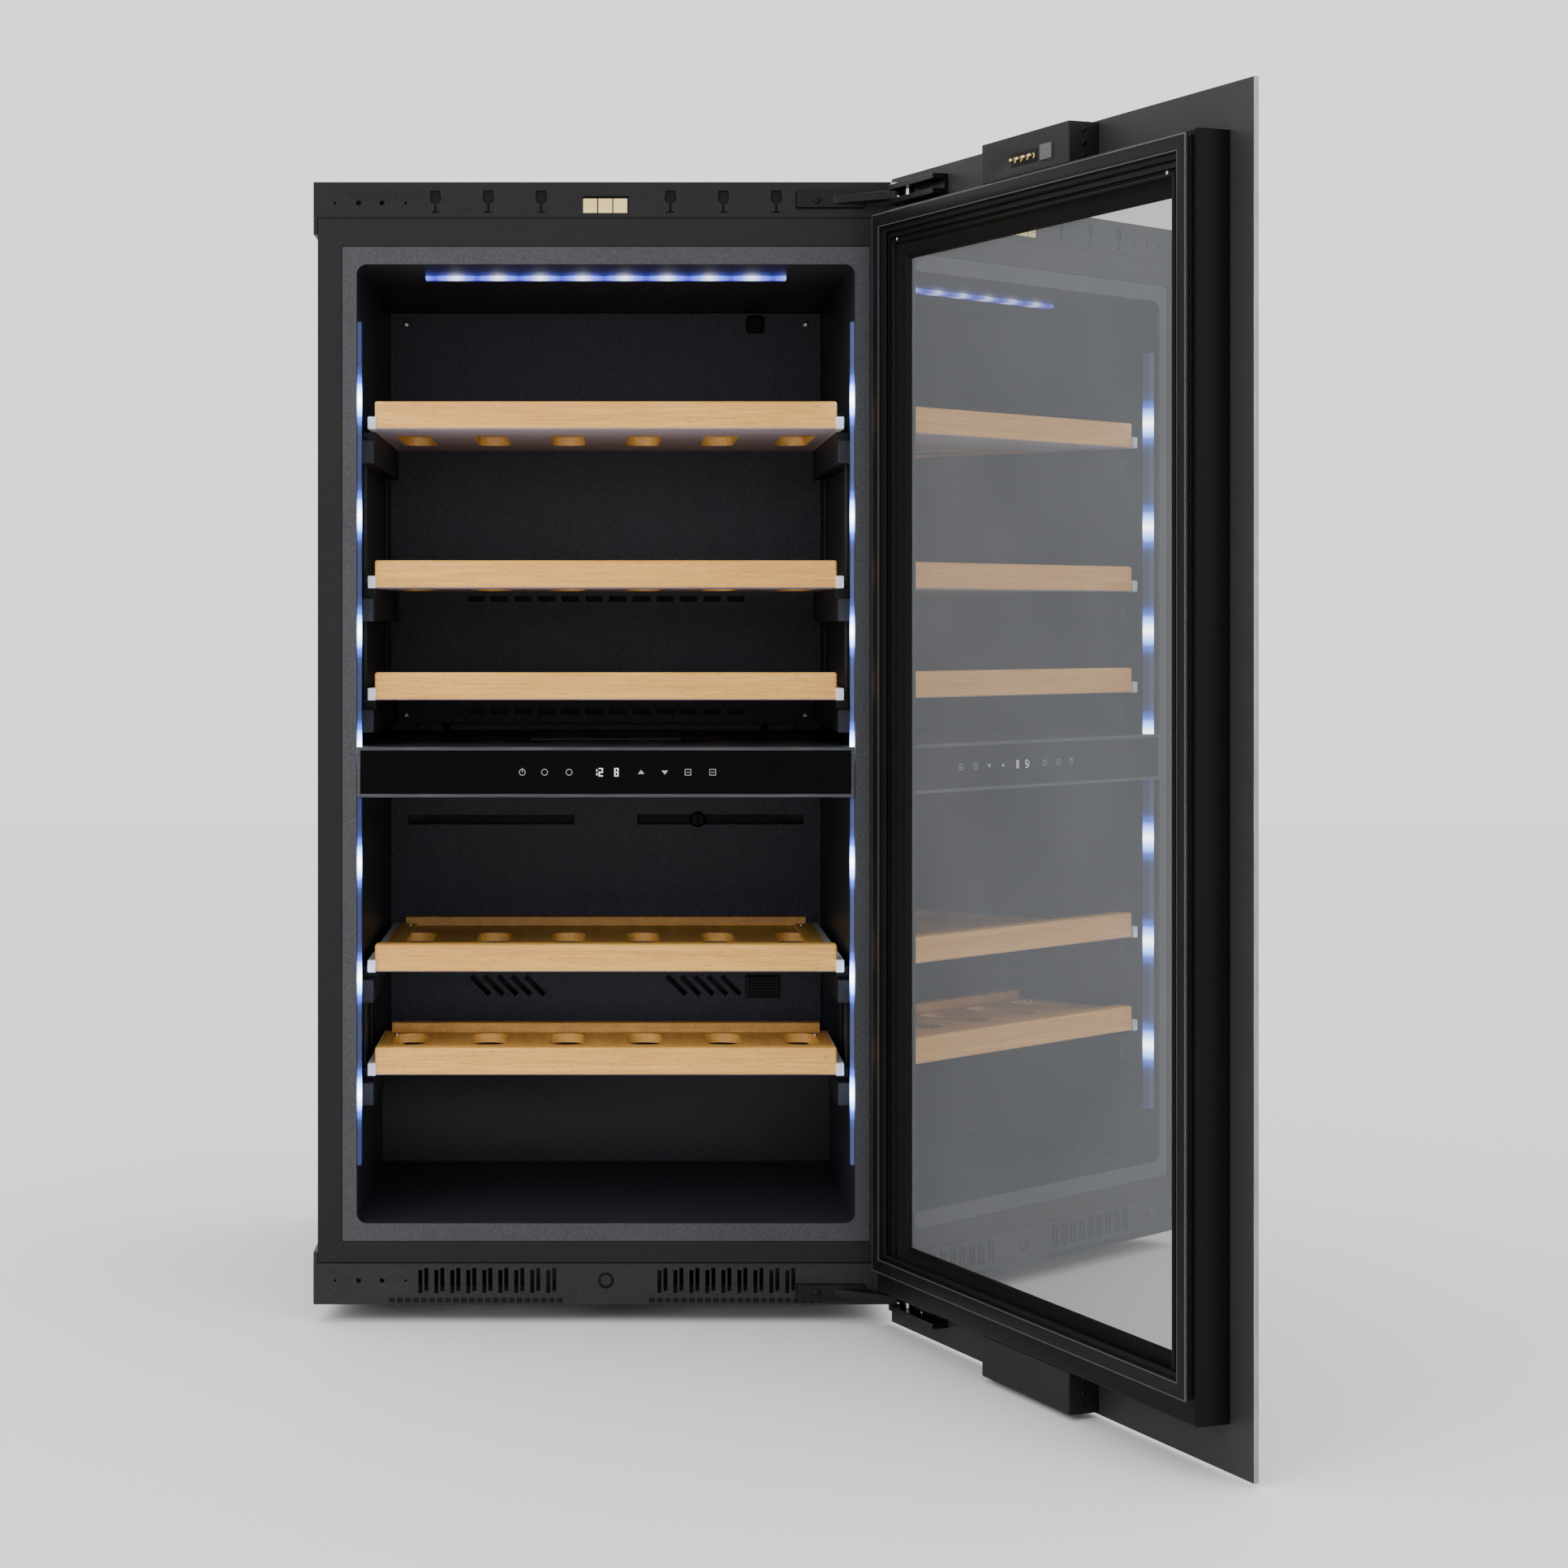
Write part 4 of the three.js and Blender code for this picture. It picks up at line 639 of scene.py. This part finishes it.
def make_studio():
    """A pale floor under an even pale sky, with a soft key light and a soft fill."""
    world = bpy.data.worlds.new("pale_studio")
    world.use_nodes = True
    sky = world.node_tree.nodes["Background"].inputs
    sky["Color"].default_value = (1, 1, 1, 1)
    sky["Strength"].default_value = 1.6
    bpy.context.scene.world = world
    make_light("key_light", (-2.2, -3.4, 2.4), (0, -0.3, 0.6), (1.6, 1.6), 40)
    make_light("fill_light", (2.6, -3.2, 1.4), (0.3, -0.4, 0.5), (1.6, 2.0), 16)
    board = box_mesh((-FLOOR_HALF, -FLOOR_HALF, -FLOOR_THICK), (FLOOR_HALF, FLOOR_HALF, 0))
    floor = new_piece("studio_floor", board, finish["floor"])


# ---------------------------------------------------------------- cabinet front

OPENING_HALF = 236.9  # half the zones' width at the lip
DIVIDER_FACES = (498, 550)  # the divider's foot and head, with their rounding
LIP_DEPTH = 4.2
GLASS_PITCH = 50.3  # between the glass-shaped cut-outs of the top strip
STRIP_END = -278  # the strips' left end
FIRST_HOLE, HOLE_PITCH = 20.7, 22.3  # the holes in the strips' ends, from that end


def lip_finish(face):
    """The liner's front edge is its grey lip; the rest is black, and so is the divider behind the bar."""
    centre = face.calc_center_median() / MM
    low, high = DIVIDER_FACES
    on_divider = abs(centre.x) < OPENING_HALF and low < centre.z < high
    return 1 if centre.y < F + LIP_DEPTH and not on_divider else 0


def make_front():
    """The flange, the liner, the two strips, the opener and the contact strips."""
    dark = finish["dark_insert"]
    refined("front_frame", 0.8, [finish["flange"]])
    refined("inner_liner", 1.4, [finish["liner"], finish["lip"]], lip_finish)
    refined("top_trim", 0.45, [finish["strip"]])
    # The lower strip and the opener take the paler foot strip finish: painted light
    refined("bottom_grille", 0.45, [finish["foot_strip_painted_light"]])
    refined("opener_plunger", 0.7, [finish["foot_strip_painted_light"]])
    # The opener's ring, dark round its button
    ring = [(7.0, 0.0), (7.3, 0.5), (6.6, 1.1), (5.6, 1.1), (5.2, 0.4), (5.2, 0.0), (7.0, 0.0)]
    turned("opener_ring", ring, (0, F + 0.6, 41), FORWARD, dark, "plunger")

    # Three gold contact strips in their dark seat, whose black is painted shade round them
    low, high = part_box("contact_plate")
    foot, head = low.z / MM, high.z / MM
    width = (high.x - low.x) / MM
    third = width / 3
    pad = box_mesh((-width / 2, F + 1, foot), (-width / 2 + third - 1.2, F + 2.4, head - 2))
    rows("contact_strips", pad, 3, (third, 0, 0), finish["gold"], "cabinet", replaced=["contact_plate"])
    # Painted shade: dark backs in the glass-shaped cut-outs, three on each side, for the shade in their
    # hollows
    for side, name in ((-1, "left"), (1, "right")):
        first = side * 111.7 - GLASS_PITCH
        shadow = box_mesh((first - 6, F + 2.5, 1055.4), (first + 6, F + 4, 1077.4))
        rows(f"glass_marks_{name}", shadow, 3, (GLASS_PITCH, 0, 0), dark, "cabinet")
    seat = box_mesh((-width / 2 - 0.2, F + 1.4, foot), (width / 2 + 0.2, F + 2.9, head - 0.2))
    attach(new_piece("contact_seat", seat, dark), "cabinet")

    # Fine teeth along the foot of the lower strip
    for name, x in (("left", -206), ("right", 41.4)):
        tooth = box_mesh((x, F - 0.5, 20.2), (x + 5, F + 0.4, 24.4))
        rows(f"grille_teeth_{name}", tooth, 22, (7.6, 0, 0), dark, "cabinet")
    # Dark lines where the strips meet the flange: painted shade in the seams
    for name, z in (("sill_seam", 58.0), ("head_seam", 1051.0)):
        line = (-FLANGE_HALF, F - 0.3, z - 0.9), (FLANGE_HALF, F + 0.5, z + 0.5)
        rounded_box(name, *line, dark, 0.2, "cabinet")
    # Screws in the second and third holes of the strips' left ends
    second_hole = STRIP_END + FIRST_HOLE + HOLE_PITCH
    for name, z in (("head_screws", 1065.0), ("sill_screws", 41.0)):
        head = screw_mesh((second_hole, F + 5.5, z), 2.2)
        rows(name, head, 2, (HOLE_PITCH, 0, 0), finish["hinge"], "cabinet")


BAR_MIDDLE = 524.0  # the height of the symbols' middle
DIGIT_HEIGHT = 8.0
SEGMENTS = {"1": "bc", "2": "abged", "8": "abcdefg"}


def digit_outlines(digit, x):
    """A seven-segment digit as the outlines of its lit bars, from its left edge."""
    width, bar = DIGIT_HEIGHT * 0.5, DIGIT_HEIGHT * 0.13
    foot, head = BAR_MIDDLE - DIGIT_HEIGHT / 2, BAR_MIDDLE + DIGIT_HEIGHT / 2
    upper = BAR_MIDDLE + bar * 0.7, head - bar * 1.2
    lower = foot + bar * 1.2, BAR_MIDDLE - bar * 0.7
    bars = {
        "a": rectangle(x, x + width, head - bar, head),
        "g": rectangle(x, x + width, BAR_MIDDLE - bar / 2, BAR_MIDDLE + bar / 2),
        "d": rectangle(x, x + width, foot, foot + bar),
        "f": rectangle(x, x + bar, *upper),
        "e": rectangle(x, x + bar, *lower),
        "b": rectangle(x + width - bar, x + width, *upper),
        "c": rectangle(x + width - bar, x + width, *lower),
    }
    return [bars[part] for part in SEGMENTS[digit]]


def make_control_bar():
    """The bar between the zones: its trim, its black glass, and the lit symbols and digits."""
    refined("control_housing", 0.5, [finish["bar_trim"]])
    refined("control_glass", 0.5, [finish["bar_glass"]])
    ink = finish["ink"]
    for name, x in (("power_symbol", -79.5), ("lamp_symbol", -58.3), ("lock_symbol", -35.0)):
        inked(name, [circle(x, BAR_MIDDLE, 3.1), circle(x, BAR_MIDDLE, 2.6)], ink)
    inked("power_stroke", [rectangle(-79.8, -79.2, BAR_MIDDLE, BAR_MIDDLE + 4)], ink)
    digits = digit_outlines("1", -12.0) + digit_outlines("2", -6.8) + digit_outlines("8", 8.0)
    inked("temperature_digits", digits, finish["digit"])
    for name, x, rise in (("warmer_symbol", 33.5, 1), ("cooler_symbol", 56.0, -1)):
        foot = BAR_MIDDLE - 1.6 * rise
        inked(name, [[(x - 3, foot), (x + 3, foot), (x, BAR_MIDDLE + 2.2 * rise)]], ink)
    for name, x in (("zone_symbol", 78.0), ("alarm_symbol", 101.5)):
        outer = rectangle(x - 3, x + 3, BAR_MIDDLE - 3, BAR_MIDDLE + 3)
        inner = rectangle(x - 2.5, x + 2.5, BAR_MIDDLE - 2.5, BAR_MIDDLE + 2.5)
        dash = rectangle(x - 1.5, x + 1.5, BAR_MIDDLE - 0.25, BAR_MIDDLE + 0.25)
        inked(name, [outer, inner, dash], ink)


# ---------------------------------------------------------------- inside the zones

SCREW_X = 219.5  # the duct panels' corner screws
RIB_PITCH = 37.5  # between the ribs of the duct panels


def make_inside():
    """Lamps, duct panels and racks, with the small fittings on the back wall and the upper zone's floor."""
    dark, steel = finish["dark_insert"], finish["steel"]
    for name in ("lamp_left", "lamp_right"):
        refined(name, 0.6, [finish["lamp"]])
    refined("ceiling_lamp", 0.8, [finish["ceiling_lamp"]])
    for name in ("upper_duct", "lower_duct"):
        refined(name, 0.8, [finish["duct"]])
    for name in ("rack_upper_left", "rack_upper_right", "rack_lower_left", "rack_lower_right"):
        refined(name, 0.7, [finish["rail"]])

    # Screws at the duct panels' corners
    for name, z, drop in (("upper_duct_screws", 994, -430), ("lower_duct_screws", 488, -262)):
        head = screw_mesh((-SCREW_X, BACK_WALL, z), 3.4)
        rows(name, head, 2, (2 * SCREW_X, 0, 0), steel, "cabinet", 2, (0, 0, drop))
    # Sensor: a slotted cover on the upper duct; its slots are dark slats of painted shade
    cover = (154, BACK_WALL - 9, 984), (173, BACK_WALL, 1003)
    rounded_box("sensor_cover", *cover, finish["block"], 3, "cabinet")
    slot_shade = box_mesh((157, BACK_WALL - 9.6, 987), (170, BACK_WALL - 8.6, 988.4))
    rows("sensor_slats", slot_shade, 5, (0, 0, 3), dark, "cabinet")
    # The charcoal filter's knob and its grip
    knob = [(0, 0), (8.5, 0), (8.5, 3), (7.6, 6), (6.4, 7.2), (0, 7.4)]
    turned("filter_knob", knob, (101, BACK_WALL, 450), FORWARD, finish["block"], "cabinet")
    grip = (99.4, BACK_WALL - 11, 443.5), (102.6, BACK_WALL - 6, 456.5)
    rounded_box("filter_grip", *grip, finish["block"], 1.2, "cabinet")
    # The drain's slotted cover, low on the back wall; its slots are dark slats of painted shade
    cover = (153, BACK_WALL - 5, 254), (191, BACK_WALL, 279)
    rounded_box("drain_cover", *cover, finish["liner"], 2, "cabinet")
    slot_shade = box_mesh((156, BACK_WALL - 5.8, 257), (188, BACK_WALL - 4.8, 258.6))
    rows("drain_slats", slot_shade, 7, (0, 0, 3.2), dark, "cabinet")
    # Drip channel across the back of the upper zone, its two plugs and the floor's cover plate
    channel = (-207, BACK_WALL - 16, 548), (207, BACK_WALL, 556)
    rounded_box("drip_channel", *channel, finish["duct"], 1.5, "cabinet")
    outline = [(0, 0), (4.2, 0), (4.2, 0.5), (3.2, 0.9), (0, 0.9)]
    plug = turned_mesh(outline, (-174, BACK_WALL - 16, 552), FORWARD)
    rows("channel_plugs", plug, 2, (348, 0, 0), dark, "cabinet")
    rounded_box("floor_plate", (-76, F + 151, 548), (76, F + 354, 551), finish["liner"], 1.2, "cabinet")
    # Ribs down the duct panels stiffen them
    for name, foot, head in (("upper_duct_ribs", 716, 966), ("lower_duct_ribs", 300, 430)):
        rib = box_mesh((-190, BACK_WALL - 1.4, foot), (-185, BACK_WALL + 0.2, head))
        rows(name, rib, 11, (RIB_PITCH, 0, 0), finish["duct"], "cabinet")


RAISED = 13  # how far the lowest tray stands on its batten
FACING = 0.9  # a face's share of a direction when it faces that way


def board_finish(face):
    """A front board is lacquered all round; below, its tone is painted light, the lamps' blue light on the
    beech.
    """
    return 1 if face.normal.z < -FACING else 0


def tray_finish(face):
    """A tray is lacquered beech between white slides; below, its tone is painted light, the lamps' blue light
    on the beech.
    """
    if abs(face.calc_center_median().x) / MM > SLIDE_X:
        return 1
    return 2 if face.normal.z < -FACING else 0


def make_shelves():
    """Beech boards and trays on white nylon slides."""
    white = finish["white_nylon"]
    sides = [(0, -SLIDE_X), (0, SLIDE_X)]
    for number in range(1, 6):
        body = f"shelf_{number}"
        refined(f"{body}_front_board", 2.2, [finish["beech_x"], finish["under"]], board_finish)
        refined(f"{body}_tray", 0.9, [finish["beech_y"], white, finish["under"]], tray_finish, sides)
        low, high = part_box(f"{body}_front_board")
        x, z = high.x / MM, low.z / MM
        # Each slide's front is capped by a rounded stop
        for side, name in ((-1, "left"), (1, "right")):
            a, b = sorted((side * (x - 1.5), side * (x + 6.6)))
            stop = (a, F + 22.5, z - 0.4), (b, F + 31, z + 11.6)
            rounded_box(f"{body}_stop_{name}", *stop, white, 1.3, body)
        # Screws through the tray's side battens
        low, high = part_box(f"{body}_tray")
        depth = (high.y - low.y) / MM
        top = low.z / MM + (RAISED if number == 5 else 0) + 9
        head = screw_mesh((-209, F + 60, max(top, z + 11)), 2.6, UP)
        rows(f"{body}_screws", head, 2, (418, 0, 0), finish["steel"], body, 2, (0, depth - 70, 0))


# ---------------------------------------------------------------- door

PANEL_HALF, PANEL_LOW, PANEL_HIGH = 297.5, 3, 1087
PANEL_OUTER, PANEL_INNER = F - 45, F - 40
GASKET_LOW = DOOR_LOW + 16
# Profiles as (inset, Y behind the front plane). The frame is one extrusion, with a groove and a bead
# before the step down to the glass
FRAME_PROFILE = [
    (0.0, -39.6), (0.0, -10.2), (0.6, -8.8), (2.0, -8.2), (27.0, -8.2), (27.4, -10.4), (28.8, -10.8),
    (29.4, -8.6), (30.4, -7.6), (32.4, -7.6), (33.6, -8.6), (34.2, -11.6), (35.0, -12.2), (43.0, -14.6),
    (46.6, -16.6), (48.0, -19.4), (44.0, -19.4), (42.0, -19.7), (42.0, -27.7), (48.0, -27.8), (48.0, -39.6),
]
# The gasket is a magnet tube between two bellows folds, with a lip on the glass side
GASKET_PROFILE = [
    (4.6, -8.2), (4.2, -6.6), (5.6, -5.6), (4.2, -4.4), (4.0, -2.2), (5.0, -0.9), (7.0, -0.4), (13.4, -0.4),
    (15.4, -1.0), (16.4, -2.4), (15.6, -4.2), (16.6, -5.0), (19.6, -4.4), (21.4, -5.0), (22.0, -6.4),
    (21.2, -8.2),
]


def make_front_glass():
    """The front panel: printed inside, polished outside, with a satin edging and a smoked window."""
    low, high = (-PANEL_HALF, PANEL_OUTER, PANEL_LOW), (PANEL_HALF, PANEL_INNER, PANEL_HIGH)
    finishes = [finish["frit"], finish["edge"], finish["front_glass"]]
    inside, edging, outside = range(3)
    panel = new_piece("front_panel", box_mesh(low, high), *finishes)
    soften(panel, 0.9)
    for face in panel.data.polygons:
        face.material_index = edging
        if face.normal.y > 0.75:
            face.material_index = inside
        elif face.normal.y < -FACING:
            face.material_index = outside
    panel.data.transform(OPEN_DOOR)
    attach(panel, "door", "door_panel")
    window = (-218, PANEL_OUTER - 0.3, 90), (218, PANEL_OUTER + 0.2, 1002)
    rounded_box("front_window", *window, finish["window"], 0.2, "door", OPEN_DOOR)


def make_door():
    """The front panel, and behind it the frame, the gasket, the sealed glass and the two blocks."""
    make_front_glass()
    mitred_ring("mitred_frame", FRAME_PROFILE, DOOR_LOW, finish["frame"], "door_frame")
    mitred_ring("magnet_gasket", GASKET_PROFILE, GASKET_LOW, finish["gasket"], "door_gasket")
    # Two thin paler strips along the gasket's folds: painted highlights, where the folds catch the light as
    # thin lines
    for name, inset, y in (("outer_bead", 4.0, -2.4), ("inner_bead", 15.4, -2.6)):
        inner = inset + 0.8
        gasket_highlight = [(inset, y), (inset - 0.5, y + 0.8), (inset, y + 1.6), (inner, y + 1.6), (inner, y)]
        mitred_ring(name, gasket_highlight, GASKET_LOW, finish["gasket_highlight"])
    refined("glass_unit", 0.6, [finish["mirror"]])
    # Corner plugs in the frame's mitres
    outline = [(0, -0.4), (1.7, -0.4), (1.7, 0.2), (1.1, 0.6), (0, 0.7)]
    plug = turned_mesh(outline, (-226, F - 8.0, 72), BACKWARD)
    rows("corner_plugs", plug, 2, (452, 0, 0), finish["steel"], "door", 2, (0, 0, 948), OPEN_DOOR)

    refined("door_contact_block", 1.4, [finish["block"]])
    refined("door_lower_block", 1.4, [finish["block"]])
    # Contact pins: domed, each with a collar, on a dark insert beside a plain grey plate
    pin = [(0, -1), (2.4, -1), (2.4, 0.6), (1.7, 1.0), (1.7, 4.0), (1.3, 5.0), (0.6, 5.6), (0, 5.7)]
    pin_mesh = turned_mesh(pin, (-15.75, F - 11, 1063.5), BACKWARD, steps=20)
    pins = {"place": OPEN_DOOR, "replaced": ["contact_pins"]}
    rows("domed_pins", pin_mesh, 4, (10.5, 0, 0), finish["gold"], "door", **pins)
    insert = (-22, F - 12.4, 1058), (22, F - 10.6, 1070)
    rounded_box("pin_insert", *insert, finish["dark_insert"], 0.6, "door", OPEN_DOOR)
    plate = (-46, F - 11.6, 1057.5), (-27, F - 9.8, 1071)
    rounded_box("magnet_plate", *plate, finish["grey_insert"], 0.6, "door", OPEN_DOOR)
    # Adjusting screws in the blocks' ends
    for name, z in (("upper_block_screws", 1056), ("lower_block_screws", 12)):
        head = screw_mesh((-73.5, F - 25, z), 2.4, LEFTWARD)
        rows(name, head, 1, (0, 0, 0), finish["hinge"], "door", 3, (0, 0, 11), OPEN_DOOR)


ROLLER_HEIGHT = 8.6
HINGE_FACE = F - 4  # the face of the hinge's block, in front of the strip


def make_hinges():
    """The hinges' blocks and arms, with their pins, rollers and screws."""
    steel = finish["steel"]
    x, y = hinge_axis.x / MM, hinge_axis.y / MM
    pin_head = [(0, -0.6), (5.2, -0.6), (5.2, 0.4), (4.4, 1.1), (2.4, 1.4), (0, 1.4)]
    roller = [(0, 0), (2.0, 0), (2.5, 0.5), (2.5, 8.1), (2.0, ROLLER_HEIGHT), (0, ROLLER_HEIGHT)]
    for name in ("upper", "lower"):
        refined(f"{name}_hinge_base", 0.7, [finish["hinge"]])
        refined(f"{name}_hinge_arm", 0.7, [finish["hinge"]])
        low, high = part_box(f"{name}_hinge_base")
        middle = (low.z + high.z) / 2 / MM
        # The pin's peened head, bright where it's worn
        turned(f"{name}_pin_head", pin_head, (x, y, high.z / MM), UP, steel, "cabinet")
        # Roller between the fork's plates
        place = (x - 22, y - 1.6, middle - ROLLER_HEIGHT / 2)
        turned(f"{name}_roller", roller, place, UP, steel, "door", OPEN_DOOR)
        # Screws that hold the hinge's base to the strip
        head = screw_mesh((200, HINGE_FACE, middle), 4.2)
        rows(f"{name}_hinge_screws", head, 2, (26, 0, 0), finish["hinge"], "cabinet")
        # Small bright screws beside the pin and in the arm's web
        head = screw_mesh((x + 2, y - 7.4, middle - 2), 1.5)
        rows(f"{name}_knuckle_screw", head, 1, (0, 0, 0), steel, "cabinet")
        head = screw_mesh((x - 42, F - 36.2, middle - 4), 1.7, BACKWARD)
        rows(f"{name}_web_screw", head, 1, (0, 0, 0), steel, "door", place=OPEN_DOOR)


# ---------------------------------------------------------------- carcass and compressor room

BACK_SCREW = 3.6  # the back panel's screw heads, their radius


def make_back():
    """The outer case and its feet, and the back panel with its screws and pressed ribs."""
    refined("outer_case", 0.8, [finish["case"]])
    # Turned-in flanges close the side walls' feet
    for side, name in ((-1, "left"), (1, "right")):
        a, b = sorted((side * 238.5, side * FLANGE_HALF))
        flange = (a, F + 16, 16.8), (b, F + 544, 18.6)
        rounded_box(f"foot_flange_{name}", *flange, finish["case"], 0.5, "cabinet")
    # Sheet over the air duct, under the foam
    sheet = (-238.8, F + 14.6, 56.9), (238.8, F + 341.0, 58.1)
    rounded_box("duct_ceiling", *sheet, finish["case"], 0.3, "cabinet")
    refined("back_panel", 0.6, [finish["zinc"]])
    refined("rear_grille", 0.5, [finish["zinc"]])
    for name, x in (("left", -262), ("right", 262)):
        head = screw_mesh((x, BACK_SHEET, 196), BACK_SCREW, BACKWARD)
        rows(f"back_panel_screws_{name}", head, 9, (0, 0, 108), finish["steel"], "cabinet")
    head = screw_mesh((-196, BACK_SHEET, 1070), BACK_SCREW, BACKWARD)
    rows("back_panel_screws_top", head, 5, (98, 0, 0), finish["steel"], "cabinet")
    # Pressed ribs stiffen the back panel
    rib = box_mesh((-180, BACK_SHEET - 0.4, 300), (180, BACK_SHEET + 1.6, 312))
    ribs = rows("back_panel_ribs", rib, 6, (0, 0, 124), finish["zinc"], "cabinet")
    soften(ribs, 1.4)


def finish_cad_nodes():
    """The solids that keep their own shape get their finishes."""
    by_slot = {
        "case_paint": "case",
        "zinc_sheet": "zinc",
        "foam": "foam",
        "liner_plastic": "liner",
        "trim_plastic": "block",
        "bar_trim": "bar_trim",
        "bar_glass": "bar_glass",
        "circuit": "circuit",
        "lamp_lens": "lamp",
        "ceiling_lens": "ceiling_lamp",
        "gold_plate": "gold",
        "steel_pin": "steel",
        "hinge_steel": "hinge",
        "aluminium_sheet": "aluminium",
        "compressor_paint": "compressor",
        "beech": "beech_x",
        "door_glass": "frit",
        "frame_plastic": "frame",
        "gasket_rubber": "gasket",
    }
    for node in frame["nodes"].values():
        for slot in node.material_slots:
            if slot.material and slot.material.name in by_slot:
                slot.material = finish[by_slot[slot.material.name]]
    # The evaporators behind the duct openings are painted near black: painted shade
    for name in ("upper_evaporator", "lower_evaporator"):
        frame["nodes"][name].material_slots[0].material = finish["evaporator"]


make_camera()
make_studio()
finish_cad_nodes()
make_front()
make_control_bar()
make_inside()
make_shelves()
make_door()
make_hinges()
make_back()
